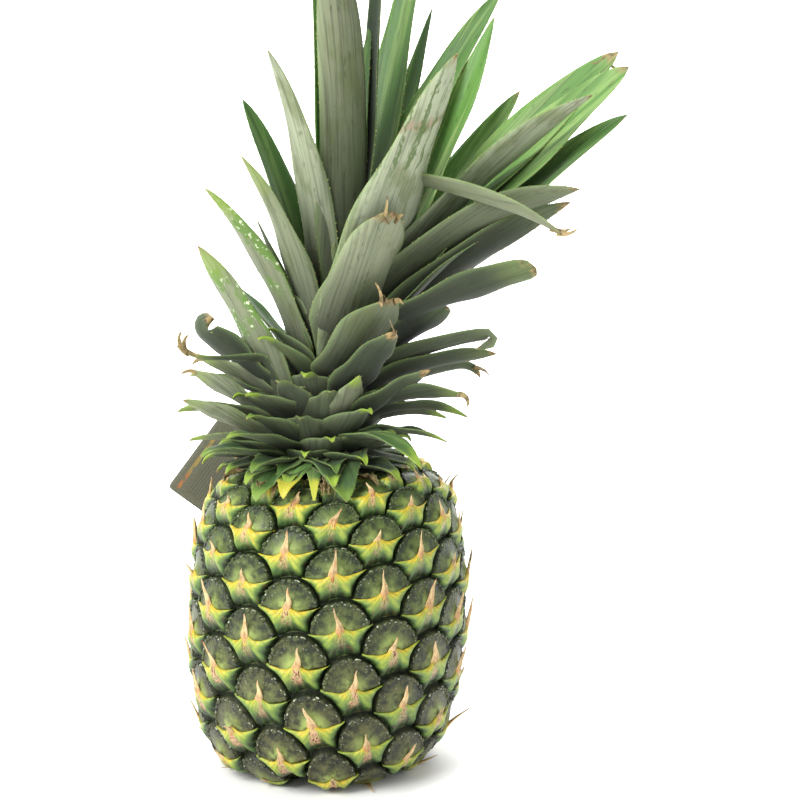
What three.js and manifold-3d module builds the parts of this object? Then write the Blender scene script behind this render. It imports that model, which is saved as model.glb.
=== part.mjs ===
// A whole pineapple standing upright: the fruit with its eyes, the leafy crown and a small card tag.
// Millimetres, +Z up. The front of the fruit faces -Y and +X is to its right.
// The origin is the centre of the flat spot that the fruit stands on.
import * as THREE from 'three';
import { mergeGeometries, mergeVertices } from 'three/addons/utils/BufferGeometryUtils.js';
import Module from 'manifold-3d';

// Fruit body
const FRUIT_RADIUS = 58;
const FRUIT_HEIGHT = 131;
const SIDE_EXPONENT = 0.31;
const END_EXPONENT = 0.97;
const SIDEWAYS_LEAN = 0.036;
const PROFILE_STEPS = 720;
const EDGE_CROWDING = 0.25;

// Eyes, laid out on spirals: each one follows the last by a fixed turn and a small rise
const EYE_TURN = THREE.MathUtils.degToRad(99.75);
const EYE_TURN_DRIFT = 0.000064;
const EYE_START = THREE.MathUtils.degToRad(6.5);
const EYE_RISE = 1.33;
const EYE_RISE_SAG = 0.003;
const EYE_START_RISE = 8.6;
const STEEP_STEP = 11;
const SHALLOW_STEP = 7;
const FIRST_EYE = -56;
const LAST_EYE = 58;
const EYE_SIDES = 12;

// Rings of an eye from its groove in to its tip, as shares of the way out; a flat eye needs no rings
const RELIEF_RINGS = [1, 0.8, 0.42, 0];
const FLAT_RINGS = [1, 0];

// Relief of one eye, out from the mean surface
const GROOVE_DEPTH = 2.6;
const DOME_HEIGHT = 1.4;
const SHIELD_HEIGHT = 2.2;
const BRACT_HEIGHT = 2.6;
const BRACT_TOP = 0.2;
const BRACT_ARM_HEIGHT = 1.6;
const BRACT_ARM_TOP = 0.3;
const BRACT_ARM_SPREAD = 0.8;
const SPIKE_OUT = 5.5;
const SPIKE_UP = 9;
const NO_RELIEF = 0.5;
const FULL_RELIEF_BELOW = 0.8;
const FULL_RELIEF_ABOVE = 0.95;

// Crown: leaves grow from a short stem, each one named by how it grows.
// azimuth 0 faces the front and 90 the right; lean is the angle from upright at the foot and the tip.
const CROWN_BASE = new THREE.Vector3(-3, 0, 131.5);
const STEM_FOOT_RADIUS = 15;
const STEM_TOP_RADIUS = 5;
const STEM_HEIGHT = 75;
const STEM_LEAN = 0.16;
const STEM_SIDES = 10;
const FOOT_DISTANCE = 6;
const PATH_STEPS = 40;
const BLADE_SIDES = 4;
const BLADE_SEGMENTS = 6;
const NECK_SEGMENTS = 4;
const FILL_SEGMENTS = 3;
const BEND = 1.4;
const FOOT_THICKNESS = 2.6;
const TIP_THICKNESS = 0.7;
const CHANNEL_DEPTH = 0.3;
const FOOT_WIDTH_SHARE = 0.5;
const WIDENING = 2;
const TAPER = 2.2;
const TAPER_FULLNESS = 0.8;
const SHOULDER_CLEARANCE = 6;
const CLEAR_FROM = 0.15;

// Blades that can be told apart. The numbers of each are azimuth, height of the foot, lean at the foot,
// lean at the tip, length, width, drift of the azimuth along the blade and roll.
const BLADES = [
  [25, 55, 6, -18, 188, 24, 0, 0],
  [120, 60, 6, 3, 166, 15, 0, 0],
  [140, 56, 16, 19, 190, 23, 0, 0],
  [140, 54, 24, 22, 146, 13, 0, 0],
  [40, 43, 27, 31, 156, 32, 0, 0],
  [115, 57, 18, 40, 162, 24, 0, 40],
  [120, 51, 33, 20, 154, 22, 0, 30],
  [110, 49, 33, 35, 140, 23, 0, 40],
  [92, 49, 38, 49, 168, 26, 0, 45],
  [78, 47, 40, 50, 166, 27, 0, -50],
  [80, 43, 45, 55, 155, 22, 0, 40],
  [85, 55, 20, 122, 122, 17, 0, -40],
  [70, 37, 46, 60, 127, 22, 0, -45],
  [80, 35, 48, 61, 122, 21, 0, -45],
  [80, 38, 44, 58, 84, 20, 0, -30],
  [40, 33, 54, 66, 115, 25, 30, -30],
  [30, 46, 34, 36, 80, 34, 0, 0],
  [35, 31, 42, 46, 62, 31, 0, 0],
  [-45, 51, 0, 33, 128, 19, 0, 0],
  [-100, 45, 9, 26, 114, 20, 0, -35],
  [-45, 39, 12, 41, 104, 22, 0, 0],
  [-55, 23, 8, 52, 116, 22, 0, 20],
  [-60, 15, 16, 50, 97, 24, 0, -20],
  [-90, 28, 45, 76, 55, 16, 0, -30],
  [-80, 26, 50, 90, 61, 15, 0, 20],
  [-85, 27, 60, 92, 53, 15, 0, 20],
  [-70, 19, 64, 102, 56, 15, 0, 20],
  [-60, 12, 70, 110, 56, 15, 0, 0],
  [76, 35, 54, 104, 73, 17, 0, -20],
  [84, 26, 60, 92, 71, 16, 0, -20],
  [70, 31, 62, 112, 66, 16, 0, -20],
  [82, 18, 66, 100, 60, 16, 0, 0],
  [64, 18, 68, 114, 61, 16, 0, 0],
  [74, 13, 72, 120, 52, 15, 0, 0],
  [48, 10, 70, 136, 56, 15, 0, 0],
];

// Short yellow-green leaves of the neck, in rings from the bottom up
const NECK_RINGS = [
  { count: 9, height: 3, lean: 82, tipLean: 140, length: 46, width: 15, first: -12 },
  { count: 8, height: 9, lean: 70, tipLean: 124, length: 46, width: 16, first: 8 },
  { count: 7, height: 14, lean: 56, tipLean: 92, length: 42, width: 18, first: -30 },
  { count: 5, height: 21, lean: 40, tipLean: 52, length: 44, width: 20, first: -8 },
];

// Leaves round the back and inside, one golden turn after another up the stem
const GOLDEN_TURN = 137.5;
const FILL_COUNT = 12;
const FILL_FIRST = 62;
const FILL_LOWEST = { height: 13, lean: 52, tipLean: 66, length: 60 };
const FILL_HIGHEST = { height: 67, lean: 5, tipLean: 8, length: 120 };
const FILL_WIDTH = 15;
const FILL_FRONT = 0.2;
const FILL_FRONT_SHARE = 0.6;
const FILL_LEFT_SHARE = 0.65;

// Tag
const TAG_WIDTH = 30;
const TAG_LENGTH = 44;
const TAG_THICKNESS = 0.6;
const TAG_CORNER = new THREE.Vector3(-71, 46, 111.5);
const TAG_SLOPE = THREE.MathUtils.degToRad(53.5);

const wasm = await Module();
wasm.setup();

/** Turns a closed geometry into a solid that can be joined or cut. */
function toSolid(geometry) {
  const bare = geometry.clone();
  bare.deleteAttribute('normal');
  bare.deleteAttribute('uv');
  const merged = mergeVertices(bare, 1e-4);
  return new wasm.Manifold(new wasm.Mesh({
    numProp: 3,
    vertProperties: new Float32Array(merged.attributes.position.array),
    triVerts: new Uint32Array(merged.index.array),
  }));
}

/** Turns a solid back into a geometry. */
function toGeometry(solid) {
  const mesh = solid.getMesh();
  const geometry = new THREE.BufferGeometry();
  geometry.setAttribute('position', new THREE.BufferAttribute(new Float32Array(mesh.vertProperties), 3));
  geometry.setIndex(new THREE.BufferAttribute(new Uint32Array(mesh.triVerts), 1));
  geometry.computeVertexNormals();
  return geometry;
}

/** Keeps the largest body of a solid, so that no small pocket stays sealed inside it. */
function mainBody(solid) {
  return solid.decompose().reduce((best, body) => (body.volume() > best.volume() ? body : best));
}

/** Raises the size of a signed number to a power and keeps its sign. */
function signedPower(value, power) {
  return Math.sign(value) * Math.abs(value) ** power;
}

/** Samples the fruit's side profile and how far up it each sample lies. */
function sampleProfile() {
  const samples = [];
  let along = 0;
  for (let i = 0; i <= PROFILE_STEPS; i += 1) {
    const angle = Math.PI * (i / PROFILE_STEPS - 0.5);
    const radius = FRUIT_RADIUS * Math.max(Math.cos(angle), 0) ** SIDE_EXPONENT;
    const height = (FRUIT_HEIGHT / 2) * (1 + signedPower(Math.sin(angle), END_EXPONENT));
    if (i > 0) {
      const last = samples[i - 1];
      const step = Math.hypot(radius - last.radius, height - last.height);
      const around = Math.max((radius + last.radius) / 2 / FRUIT_RADIUS, 0.05);
      along += step / around ** EDGE_CROWDING;
    }
    samples.push({ along, radius, height });
  }
  const middle = samples[PROFILE_STEPS / 2].along;
  return samples.map((sample) => ({ ...sample, along: sample.along - middle }));
}

const profile = sampleProfile();

/** Gives radius and height on the profile at a distance up it from the widest place. */
function profileAt(along) {
  let low = 0;
  let high = profile.length - 1;
  while (high - low > 1) {
    const middle = (low + high) >> 1;
    if (profile[middle].along <= along) {
      low = middle;
    } else {
      high = middle;
    }
  }
  const a = profile[low];
  const b = profile[high];
  const t = THREE.MathUtils.clamp((along - a.along) / (b.along - a.along), 0, 1);
  return {
    radius: THREE.MathUtils.lerp(a.radius, b.radius, t),
    height: THREE.MathUtils.lerp(a.height, b.height, t),
    slope: Math.atan2(b.radius - a.radius, b.height - a.height),
  };
}

/** Gives the turn and the rise of an eye by its number. */
function eyePlace(number) {
  return {
    turn: EYE_START + EYE_TURN * number + EYE_TURN_DRIFT * number * number,
    rise: EYE_START_RISE + EYE_RISE * number - EYE_RISE_SAG * number * number,
  };
}

/** Puts a turn, a rise, an outward and an upward offset into space. */
function onFruit(turn, rise, out, up) {
  const { radius, height, slope } = profileAt(rise);
  const outR = Math.cos(slope);
  const outZ = -Math.sin(slope);
  const r = radius + out * outR + up * Math.sin(slope);
  const z = height + out * outZ + up * Math.cos(slope);
  const lift = Math.max(z, 0);
  return new THREE.Vector3(r * Math.sin(turn) + SIDEWAYS_LEAN * lift, -r * Math.cos(turn), lift);
}

/** Brings a turn to within half a circle of another. */
function nearTurn(turn, other) {
  const circle = 2 * Math.PI;
  return turn - circle * Math.round((turn - other) / circle);
}

/** Gives the six corners of an eye, each the middle of three eyes that meet there. */
function eyeCorners(number) {
  const here = eyePlace(number);
  const steps = [
    STEEP_STEP,
    STEEP_STEP + SHALLOW_STEP,
    SHALLOW_STEP,
    -STEEP_STEP,
    -STEEP_STEP - SHALLOW_STEP,
    -SHALLOW_STEP,
  ];
  const around = steps.map((step) => {
    const place = eyePlace(number + step);
    return { turn: nearTurn(place.turn, here.turn), rise: place.rise };
  });
  return around.map((place, i) => {
    const next = around[(i + 1) % 6];
    return {
      turn: (here.turn + place.turn + next.turn) / 3,
      rise: (here.rise + place.rise + next.rise) / 3,
    };
  });
}

/** Gives how much of its relief an eye keeps: those under the fruit and under the crown are flat. */
function reliefShare(rise) {
  const { radius } = profileAt(rise);
  const full = rise < 0 ? FULL_RELIEF_BELOW : FULL_RELIEF_ABOVE;
  return THREE.MathUtils.smoothstep(radius, FRUIT_RADIUS * NO_RELIEF, FRUIT_RADIUS * full);
}

/** Gives how far one point of an eye stands out, from its ring and its direction. */
function eyeRelief(ring, direction) {
  const upward = Math.sin(direction);
  const isAside = Math.abs(Math.cos(direction)) > BRACT_ARM_SPREAD;
  if (ring === 0) {
    return -GROOVE_DEPTH;
  }
  if (ring === 1) {
    return DOME_HEIGHT + (isAside && upward < BRACT_ARM_TOP ? BRACT_ARM_HEIGHT : 0);
  }
  return upward < BRACT_TOP ? BRACT_HEIGHT : SHIELD_HEIGHT;
}

/** Gives the points round the edge of an eye: its corners and the places halfway between them. */
function eyeRim(number) {
  const corners = eyeCorners(number);
  return corners.flatMap((corner, i) => {
    const next = corners[(i + 1) % corners.length];
    return [corner, { turn: (corner.turn + next.turn) / 2, rise: (corner.rise + next.rise) / 2 }];
  });
}

/** Builds one eye as a round patch of rings, stretched to its six corners. */
function eyePatch(number) {
  const here = eyePlace(number);
  const rim = eyeRim(number);
  const share = reliefShare(here.rise);
  const { radius } = profileAt(here.rise);
  const reaches = share > 0 ? RELIEF_RINGS : FLAT_RINGS;
  const last = reaches.length - 1;
  const patch = new THREE.RingGeometry(0, last, EYE_SIDES, last);
  const position = patch.attributes.position;
  for (let i = 0; i < position.count; i += 1) {
    const x = position.getX(i);
    const y = position.getY(i);
    const ring = Math.round(last - Math.hypot(x, y));
    const side = Math.round((Math.atan2(y, x) / (2 * Math.PI) + 1) * EYE_SIDES) % EYE_SIDES;
    const edge = rim[side];
    const turn = THREE.MathUtils.lerp(here.turn, edge.turn, reaches[ring]);
    const rise = THREE.MathUtils.lerp(here.rise, edge.rise, reaches[ring]);
    const direction = Math.atan2(edge.rise - here.rise, (edge.turn - here.turn) * radius);
    const isTip = ring === last;
    const out = isTip ? SPIKE_OUT : eyeRelief(ring, direction);
    const outShare = ring === 0 ? reliefShare(rise) : share;
    const place = onFruit(turn, rise, out * outShare, isTip ? SPIKE_UP * share : 0);
    position.setXYZ(i, place.x, place.y, place.z);
  }
  return patch;
}

/** Closes an open end with a fan of triangles to its middle. */
function closeEnd(geometry, isTop) {
  const index = geometry.index.array;
  const edges = new Map();
  for (let i = 0; i < index.length; i += 3) {
    for (let k = 0; k < 3; k += 1) {
      const a = index[i + k];
      const b = index[i + ((k + 1) % 3)];
      edges.set(`${a},${b}`, [a, b]);
    }
  }
  const position = geometry.attributes.position;
  const middle = new THREE.Vector3(isTop ? CROWN_BASE.x : 0, 0, isTop ? FRUIT_HEIGHT : 0);
  const corners = [];
  edges.forEach(([a, b]) => {
    const isOpen = !edges.has(`${b},${a}`);
    const isHigh = position.getZ(a) > FRUIT_HEIGHT / 2;
    if (isOpen && isHigh === isTop) {
      const first = new THREE.Vector3().fromBufferAttribute(position, a);
      const second = new THREE.Vector3().fromBufferAttribute(position, b);
      corners.push(second, first, middle);
    }
  });
  return new THREE.BufferGeometry().setFromPoints(corners);
}

/** Builds the whole fruit as one closed skin of eyes. */
function fruitGeometry() {
  const patches = [];
  for (let number = FIRST_EYE; number <= LAST_EYE; number += 1) {
    const patch = eyePatch(number);
    patch.deleteAttribute('normal');
    patch.deleteAttribute('uv');
    patches.push(patch.toNonIndexed());
  }
  const skin = mergeVertices(mergeGeometries(patches), 1e-3);
  const ends = [closeEnd(skin, false), closeEnd(skin, true)];
  const whole = mergeVertices(mergeGeometries([skin.toNonIndexed(), ...ends]), 1e-3);
  whole.computeVertexNormals();
  return whole;
}

/** Gives the height of the fruit's top at a distance from its axis. */
function shoulderHeight(radius) {
  const sample = profile.findLast((entry) => entry.height > FRUIT_HEIGHT / 2 && entry.radius >= radius);
  return sample ? sample.height : 0;
}

/** Follows a leaf from its foot on the stem to its tip, and keeps it above the fruit's shoulder. */
function leafPath(leaf) {
  const up = new THREE.Vector3(0, 0, 1);
  const first = THREE.MathUtils.degToRad(leaf.azimuth);
  const point = new THREE.Vector3(Math.sin(first), -Math.cos(first), 0).multiplyScalar(FOOT_DISTANCE);
  point.add(CROWN_BASE);
  point.x += leaf.height * STEM_LEAN;
  point.z += leaf.height;
  const stations = [];
  for (let i = 0; i <= PATH_STEPS; i += 1) {
    const s = i / PATH_STEPS;
    const azimuth = THREE.MathUtils.degToRad(leaf.azimuth + leaf.drift * s);
    const lean = THREE.MathUtils.degToRad(THREE.MathUtils.lerp(leaf.lean, leaf.tipLean, s ** BEND));
    const outward = new THREE.Vector3(Math.sin(azimuth), -Math.cos(azimuth), 0);
    const tangent = outward.clone().multiplyScalar(Math.sin(lean)).addScaledVector(up, Math.cos(lean));
    const side = new THREE.Vector3().crossVectors(outward, up).normalize();
    const face = new THREE.Vector3().crossVectors(side, tangent).normalize();
    const turn = new THREE.Quaternion().setFromAxisAngle(tangent, THREE.MathUtils.degToRad(leaf.roll * s));
    const place = point.clone();
    const floor = shoulderHeight(Math.hypot(place.x, place.y)) + SHOULDER_CLEARANCE;
    place.z = Math.max(place.z, s > CLEAR_FROM ? floor : place.z);
    stations.push({ place, side: side.applyQuaternion(turn), face: face.applyQuaternion(turn) });
    point.addScaledVector(tangent, leaf.length / PATH_STEPS);
  }
  return stations;
}

/** Gives the share of its full width that a leaf has at a place along it. */
function bladeShare(s) {
  const widening = Math.min(1, FOOT_WIDTH_SHARE + WIDENING * s);
  return widening * Math.max(1 - s ** TAPER, 0) ** TAPER_FULLNESS;
}

/** Builds one leaf: a four-sided cone flattened to a channelled blade and laid along its path. */
function leafGeometry(leaf, segments) {
  const stations = leafPath(leaf);
  const blade = new THREE.ConeGeometry(1, 1, BLADE_SIDES, segments);
  const position = blade.attributes.position;
  for (let i = 0; i < position.count; i += 1) {
    const s = THREE.MathUtils.clamp(position.getY(i) + 0.5, 0, 1);
    const round = Math.max(1 - s, 1e-6);
    const across = THREE.MathUtils.clamp(position.getX(i) / round, -1, 1);
    const through = THREE.MathUtils.clamp(position.getZ(i) / round, -1, 1);
    const { place, side, face } = stations[Math.round(s * PATH_STEPS)];
    const half = (leaf.width / 2) * bladeShare(s);
    const isTip = s > 0.999;
    const thick = isTip ? 0 : THREE.MathUtils.lerp(FOOT_THICKNESS, TIP_THICKNESS, s) / 2;
    const spot = place.clone();
    spot.addScaledVector(side, across * half);
    spot.addScaledVector(face, CHANNEL_DEPTH * half * across * across + through * thick);
    position.setXYZ(i, spot.x, spot.y, spot.z);
  }
  return blade;
}

/** Gives the share of its length that an inner leaf keeps, so that the front and the left stay open. */
function fillReach(azimuth) {
  const turn = THREE.MathUtils.degToRad(azimuth);
  if (Math.cos(turn) > FILL_FRONT) {
    return FILL_FRONT_SHARE;
  }
  return THREE.MathUtils.lerp(1, FILL_LEFT_SHARE, Math.max(-Math.sin(turn), 0));
}

/** Gives one leaf of the back or the inside by its number from the bottom up. */
function fillLeaf(number) {
  const azimuth = FILL_FIRST + GOLDEN_TURN * number;
  const between = (key) => THREE.MathUtils.lerp(
    FILL_LOWEST[key],
    FILL_HIGHEST[key],
    number / (FILL_COUNT - 1),
  );
  return {
    azimuth,
    height: between('height'),
    lean: between('lean'),
    tipLean: between('tipLean'),
    length: between('length') * fillReach(azimuth),
    width: FILL_WIDTH,
    drift: 0,
    roll: 0,
    segments: FILL_SEGMENTS,
  };
}

/** Lists every leaf of the crown. */
function crownLeaves() {
  const leaves = BLADES.map(([azimuth, height, lean, tipLean, length, width, drift, roll]) => (
    { azimuth, height, lean, tipLean, length, width, drift, roll, segments: BLADE_SEGMENTS }
  ));
  NECK_RINGS.forEach((ring) => {
    for (let i = 0; i < ring.count; i += 1) {
      const azimuth = ring.first + (360 * i) / ring.count;
      leaves.push({ ...ring, azimuth, drift: 0, roll: 0, segments: NECK_SEGMENTS });
    }
  });
  for (let number = 0; number < FILL_COUNT; number += 1) {
    leaves.push(fillLeaf(number));
  }
  return leaves;
}

/** Joins the stem and all leaves into one body. */
function crownGeometry() {
  const stem = new THREE.CylinderGeometry(STEM_TOP_RADIUS, STEM_FOOT_RADIUS, STEM_HEIGHT, STEM_SIDES);
  stem.translate(0, STEM_HEIGHT / 2, 0);
  stem.rotateX(Math.PI / 2);
  stem.applyMatrix4(new THREE.Matrix4().makeShear(0, 0, 0, 0, STEM_LEAN, 0));
  stem.translate(CROWN_BASE.x, CROWN_BASE.y, CROWN_BASE.z);
  const solids = crownLeaves().map((leaf) => toSolid(leafGeometry(leaf, leaf.segments)));
  const joined = solids.reduce((whole, blade) => whole.add(blade), toSolid(stem));
  return toGeometry(mainBody(joined));
}

/** Builds the tag, a thin card that leans against the fruit's far shoulder. */
function tagGeometry() {
  const card = new THREE.BoxGeometry(TAG_WIDTH, TAG_THICKNESS, TAG_LENGTH);
  card.translate(TAG_WIDTH / 2, 0, TAG_LENGTH / 2);
  return card;
}

const pineapple = new THREE.Group();
const fruit = new THREE.Mesh(
  fruitGeometry(),
  new THREE.MeshStandardMaterial({ color: 0x6f7d3a, roughness: 0.6, metalness: 0 }),
);
fruit.name = 'fruit';
pineapple.add(fruit);

const crown = new THREE.Mesh(
  crownGeometry(),
  new THREE.MeshStandardMaterial({ color: 0x5c7350, roughness: 0.5, metalness: 0 }),
);
crown.name = 'crown';
pineapple.add(crown);

const tag = new THREE.Mesh(
  tagGeometry(),
  new THREE.MeshStandardMaterial({ color: 0x7d7c66, roughness: 0.7, metalness: 0 }),
);
tag.name = 'tag';
tag.position.copy(TAG_CORNER);
tag.rotation.y = Math.PI / 2 - TAG_SLOPE;
pineapple.add(tag);

export default pineapple;
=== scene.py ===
"""A whole pineapple dressed round its solids: rind of eyes, bracts, leafy crown and card tag.

Sizes are in millimetres, as in the part, and become metres where a mesh is made.
"""

import logging
import math
from collections.abc import Callable
from dataclasses import dataclass, field, replace
from enum import Enum
from functools import partial
from typing import Any

import bmesh
import bpy
import numpy as np
from bpy.types import Collection, Material, Mesh, NodeSocket, NodeTree, Object
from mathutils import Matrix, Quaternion, Vector

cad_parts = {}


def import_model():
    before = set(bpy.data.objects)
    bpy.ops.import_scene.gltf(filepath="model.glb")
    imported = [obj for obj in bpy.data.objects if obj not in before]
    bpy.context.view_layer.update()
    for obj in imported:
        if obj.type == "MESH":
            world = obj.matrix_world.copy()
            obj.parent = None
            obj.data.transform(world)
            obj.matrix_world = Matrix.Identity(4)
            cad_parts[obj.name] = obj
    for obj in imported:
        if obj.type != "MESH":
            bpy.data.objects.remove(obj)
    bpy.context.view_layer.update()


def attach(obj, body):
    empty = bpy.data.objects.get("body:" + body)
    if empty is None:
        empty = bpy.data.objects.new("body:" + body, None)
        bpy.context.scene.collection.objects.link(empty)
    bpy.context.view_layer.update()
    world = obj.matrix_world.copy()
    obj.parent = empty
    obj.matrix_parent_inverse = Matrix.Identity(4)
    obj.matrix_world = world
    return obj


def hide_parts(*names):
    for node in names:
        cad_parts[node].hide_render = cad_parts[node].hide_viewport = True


LOG = logging.getLogger("pineapple")
MM = 0.001


def linear(hex_colour: str) -> tuple[float, float, float, float]:
    """Turn an sRGB hex colour into the linear colour that shaders use.

    Args:
        hex_colour: Six hex digits.

    Returns:
        Linear red, green and blue, and an alpha of one.
    """
    parts = [byte / 255 for byte in bytes.fromhex(hex_colour)]
    bent = [p / 12.92 if p <= 0.04045 else ((p + 0.055) / 1.055) ** 2.4 for p in parts]
    return (*bent, 1.0)


@dataclass(frozen=True)
class Sort:
    """How a sort of node is asked for: its type, settings, inputs in order and what it gives."""

    type: str
    settings: dict[str, Any] = field(default_factory=dict)
    order: tuple[int | str, ...] = (0, 1, 2, 3, 4)
    gives: int | str | slice | None = 0


MATHS = "ADD SUBTRACT DIVIDE MULTIPLY_ADD MAXIMUM ABSOLUTE POWER SINE COSINE ARCTAN2 FRACT FLOOR LESS_THAN"
VECTOR_MATHS = "ADD SUBTRACT MULTIPLY MULTIPLY_ADD NORMALIZE"
SORTS = {
    **{how: Sort("ShaderNodeMath", {"operation": how}) for how in MATHS.split()},
    "MULTIPLY": Sort("ShaderNodeMath", {"operation": "MULTIPLY"}, (0, 1)),
    **{"V_" + how: Sort("ShaderNodeVectorMath", {"operation": how}) for how in VECTOR_MATHS.split()},
    "V_LENGTH": Sort("ShaderNodeVectorMath", {"operation": "LENGTH"}, gives="Value"),
    "mix": Sort("ShaderNodeMix", {"data_type": "RGBA"}, (0, 6, 7), 2),
    "rise": Sort("ShaderNodeMapRange", {"interpolation_type": "SMOOTHSTEP"}),
    "ramp": Sort("ShaderNodeValToRGB"),
    "noise": Sort(
        "ShaderNodeTexNoise",
        {"noise_dimensions": "3D", "Detail": 2.0, "Roughness": 0.6},
        ("Vector", "Scale", "Detail", "Roughness"),
    ),
    "cells": Sort("ShaderNodeTexVoronoi", {"feature": "F1"}, ("Vector", "Scale"), "Distance"),
    "drawn": Sort("ShaderNodeMapping", {"vector_type": "POINT"}, ("Vector", "Scale")),
    "bump": Sort("ShaderNodeBump", {}, ("Height", "Distance", "Strength")),
    "split": Sort("ShaderNodeSeparateXYZ", gives=slice(0, 3)),
    "join": Sort("ShaderNodeCombineXYZ"),
    "object_place": Sort("ShaderNodeTexCoord", gives="Object"),
    "stored_number": Sort("ShaderNodeAttribute", gives="Fac"),
    "stored_vector": Sort("ShaderNodeAttribute", gives="Vector"),
    "principled": Sort("ShaderNodeBsdfPrincipled"),
    "surface": Sort("ShaderNodeOutputMaterial", gives=None),
    "read_number": Sort("GeometryNodeInputNamedAttribute", {"data_type": "FLOAT"}),
    "read_vector": Sort("GeometryNodeInputNamedAttribute", {"data_type": "FLOAT_VECTOR"}),
    "index": Sort("GeometryNodeInputIndex"),
    "position": Sort("GeometryNodeInputPosition"),
    "chance": Sort("FunctionNodeRandomValue", {"data_type": "FLOAT"}, (7, 8), 1),
    "chance_whole": Sort("FunctionNodeRandomValue", {"data_type": "INT"}, (4, 5, 7, 8), 2),
    "sample": Sort("GeometryNodeSampleIndex", {"data_type": "FLOAT_VECTOR", "clamp": True}),
    "object": Sort("GeometryNodeObjectInfo", {}, ("Object",), "Geometry"),
    "collection": Sort(
        "GeometryNodeCollectionInfo",
        {"Separate Children": True, "Reset Children": True},
        ("Collection",),
    ),
    "points": Sort("GeometryNodePoints"),
    "store": Sort("GeometryNodeStoreNamedAttribute", {"data_type": "FLOAT"}, ("Geometry", "Name", "Value")),
    "instances": Sort(
        "GeometryNodeInstanceOnPoints", {}, ("Points", "Instance", "Instance Index", "Rotation", "Scale")
    ),
    "realize": Sort("GeometryNodeRealizeInstances"),
    "move": Sort("GeometryNodeSetPosition", {}, ("Geometry", "Position")),
    "weld": Sort("GeometryNodeMergeByDistance", {}, ("Geometry", "Selection", "Distance")),
    "dress": Sort("GeometryNodeSetMaterial", {}, ("Geometry", "Material")),
    "cone": Sort(
        "GeometryNodeMeshCone",
        {"fill_type": "NGON", "Radius Top": 0.0},
        ("Vertices", "Radius Bottom", "Depth"),
    ),
    "align": Sort("FunctionNodeAlignRotationToVector", {"axis": "Z"}, ("Vector",)),
    "given": Sort("NodeGroupInput", gives=None),
    "result": Sort("NodeGroupOutput", gives=None),
}


def add_node(tree: NodeTree, sort: str, *values: Any, **named: Any) -> Any:
    """Add one node to a tree, with its settings, values and links.

    Args:
        tree: Tree that gets the node.
        sort: Name of the sort of node.
        *values: A value, a hex colour or a socket for each input in order, or None to leave one. If there
            are more than a node takes, all but the last go to another node of the sort that feeds it.
        **named: Other inputs and the node's own properties, with the stops of a colour ramp as stops.

    Returns:
        The socket or sockets that the sort gives, or else the node.
    """
    made = SORTS[sort]
    if len(values) > len(made.order):
        values = (add_node(tree, sort, *values[:-1]), values[-1])
    node = tree.nodes.new(made.type)
    inputs = dict(zip(made.order, values))
    for name, value in {**made.settings, **named}.items():
        if name == "stops":
            elements = node.color_ramp.elements
            while len(elements) < len(value):
                elements.new(1.0)
            for element, (place, colour) in zip(elements, value):
                element.position, element.color = place, linear(colour)
        elif hasattr(node, name):
            setattr(node, name, value)
        else:
            inputs.setdefault(name.replace("_", " "), value)
    for key, value in inputs.items():
        socket = node.inputs[key]
        if isinstance(value, NodeSocket):
            tree.links.new(value, socket)
        elif value is not None:
            is_colour = isinstance(value, str) and socket.type == "RGBA"
            socket.default_value = linear(value) if is_colour else value
    return node if made.gives is None else node.outputs[made.gives]


def new_tree(name: str, inputs: dict[str, tuple[str, ...]]) -> tuple[NodeTree, Callable, Any]:
    """Start a Geometry Nodes tree with named inputs, whose result is one geometry.

    Args:
        name: Name of the tree.
        inputs: Names of the inputs for each kind of socket.

    Returns:
        The tree, the function that adds a node to it, and the sockets of its inputs.
    """
    tree = bpy.data.node_groups.new(name, "GeometryNodeTree")
    for kind, labels in inputs.items():
        for label in labels:
            tree.interface.new_socket(label, in_out="INPUT", socket_type="NodeSocket" + kind)
    tree.interface.new_socket("Geometry", in_out="OUTPUT", socket_type="NodeSocketGeometry")
    put = partial(add_node, tree)
    return tree, put, put("given").outputs


def per_mm(size: float) -> float:
    """Give the scale of a pattern whose parts are so many millimetres wide."""
    return 1 / (size * MM)


def smooth(low: float, high: float, value: np.ndarray | float) -> np.ndarray:
    """Rise smoothly from zero at low to one at high.

    Args:
        low: Value at which the rise starts.
        high: Value at which it ends.
        value: Values to place on the rise.

    Returns:
        The height of the rise at each value.
    """
    t = np.clip((np.asarray(value, float) - low) / (high - low), 0, 1)
    return t * t * (3 - 2 * t)


def blend(first: Any, second: Any, share: Any) -> Any:
    """Give the value that lies a share of the way from the first to the second."""
    return first + (second - first) * share


def hill(value: np.ndarray, middle: float, width: float) -> np.ndarray:
    """Give a hill of height one round its middle, which falls away over its width."""
    return np.exp(-(((value - middle) / width) ** 2))


def columns(*values: Any) -> np.ndarray:
    """Set values side by side along a new last axis, each spread to the shape of all."""
    return np.stack(np.broadcast_arrays(*values), -1)


def shifted(faces: list, start: int) -> list:
    """Number faces anew for vertices that follow others."""
    return [[start + vertex for vertex in face] for face in faces]


def fan_faces(first: int, count: int, tip: int) -> list:
    """Number the triangles between a closed ring of vertices and the one at its tip."""
    return [[first + i, first + (i + 1) % count, tip] for i in range(count)]


def row_faces(rows: int, count: int, is_ring: bool = True) -> list:
    """Number the faces between rows of vertices that follow one another.

    Args:
        rows: Number of rows.
        count: Vertices in each row.
        is_ring: Whether the end of each row meets its start.

    Returns:
        The four vertices of each face.
    """
    faces = []
    for low in range(0, (rows - 1) * count, count):
        for i in range(count if is_ring else count - 1):
            j = (i + 1) % count
            faces.append([low + i, low + j, low + count + j, low + count + i])
    return faces


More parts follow.
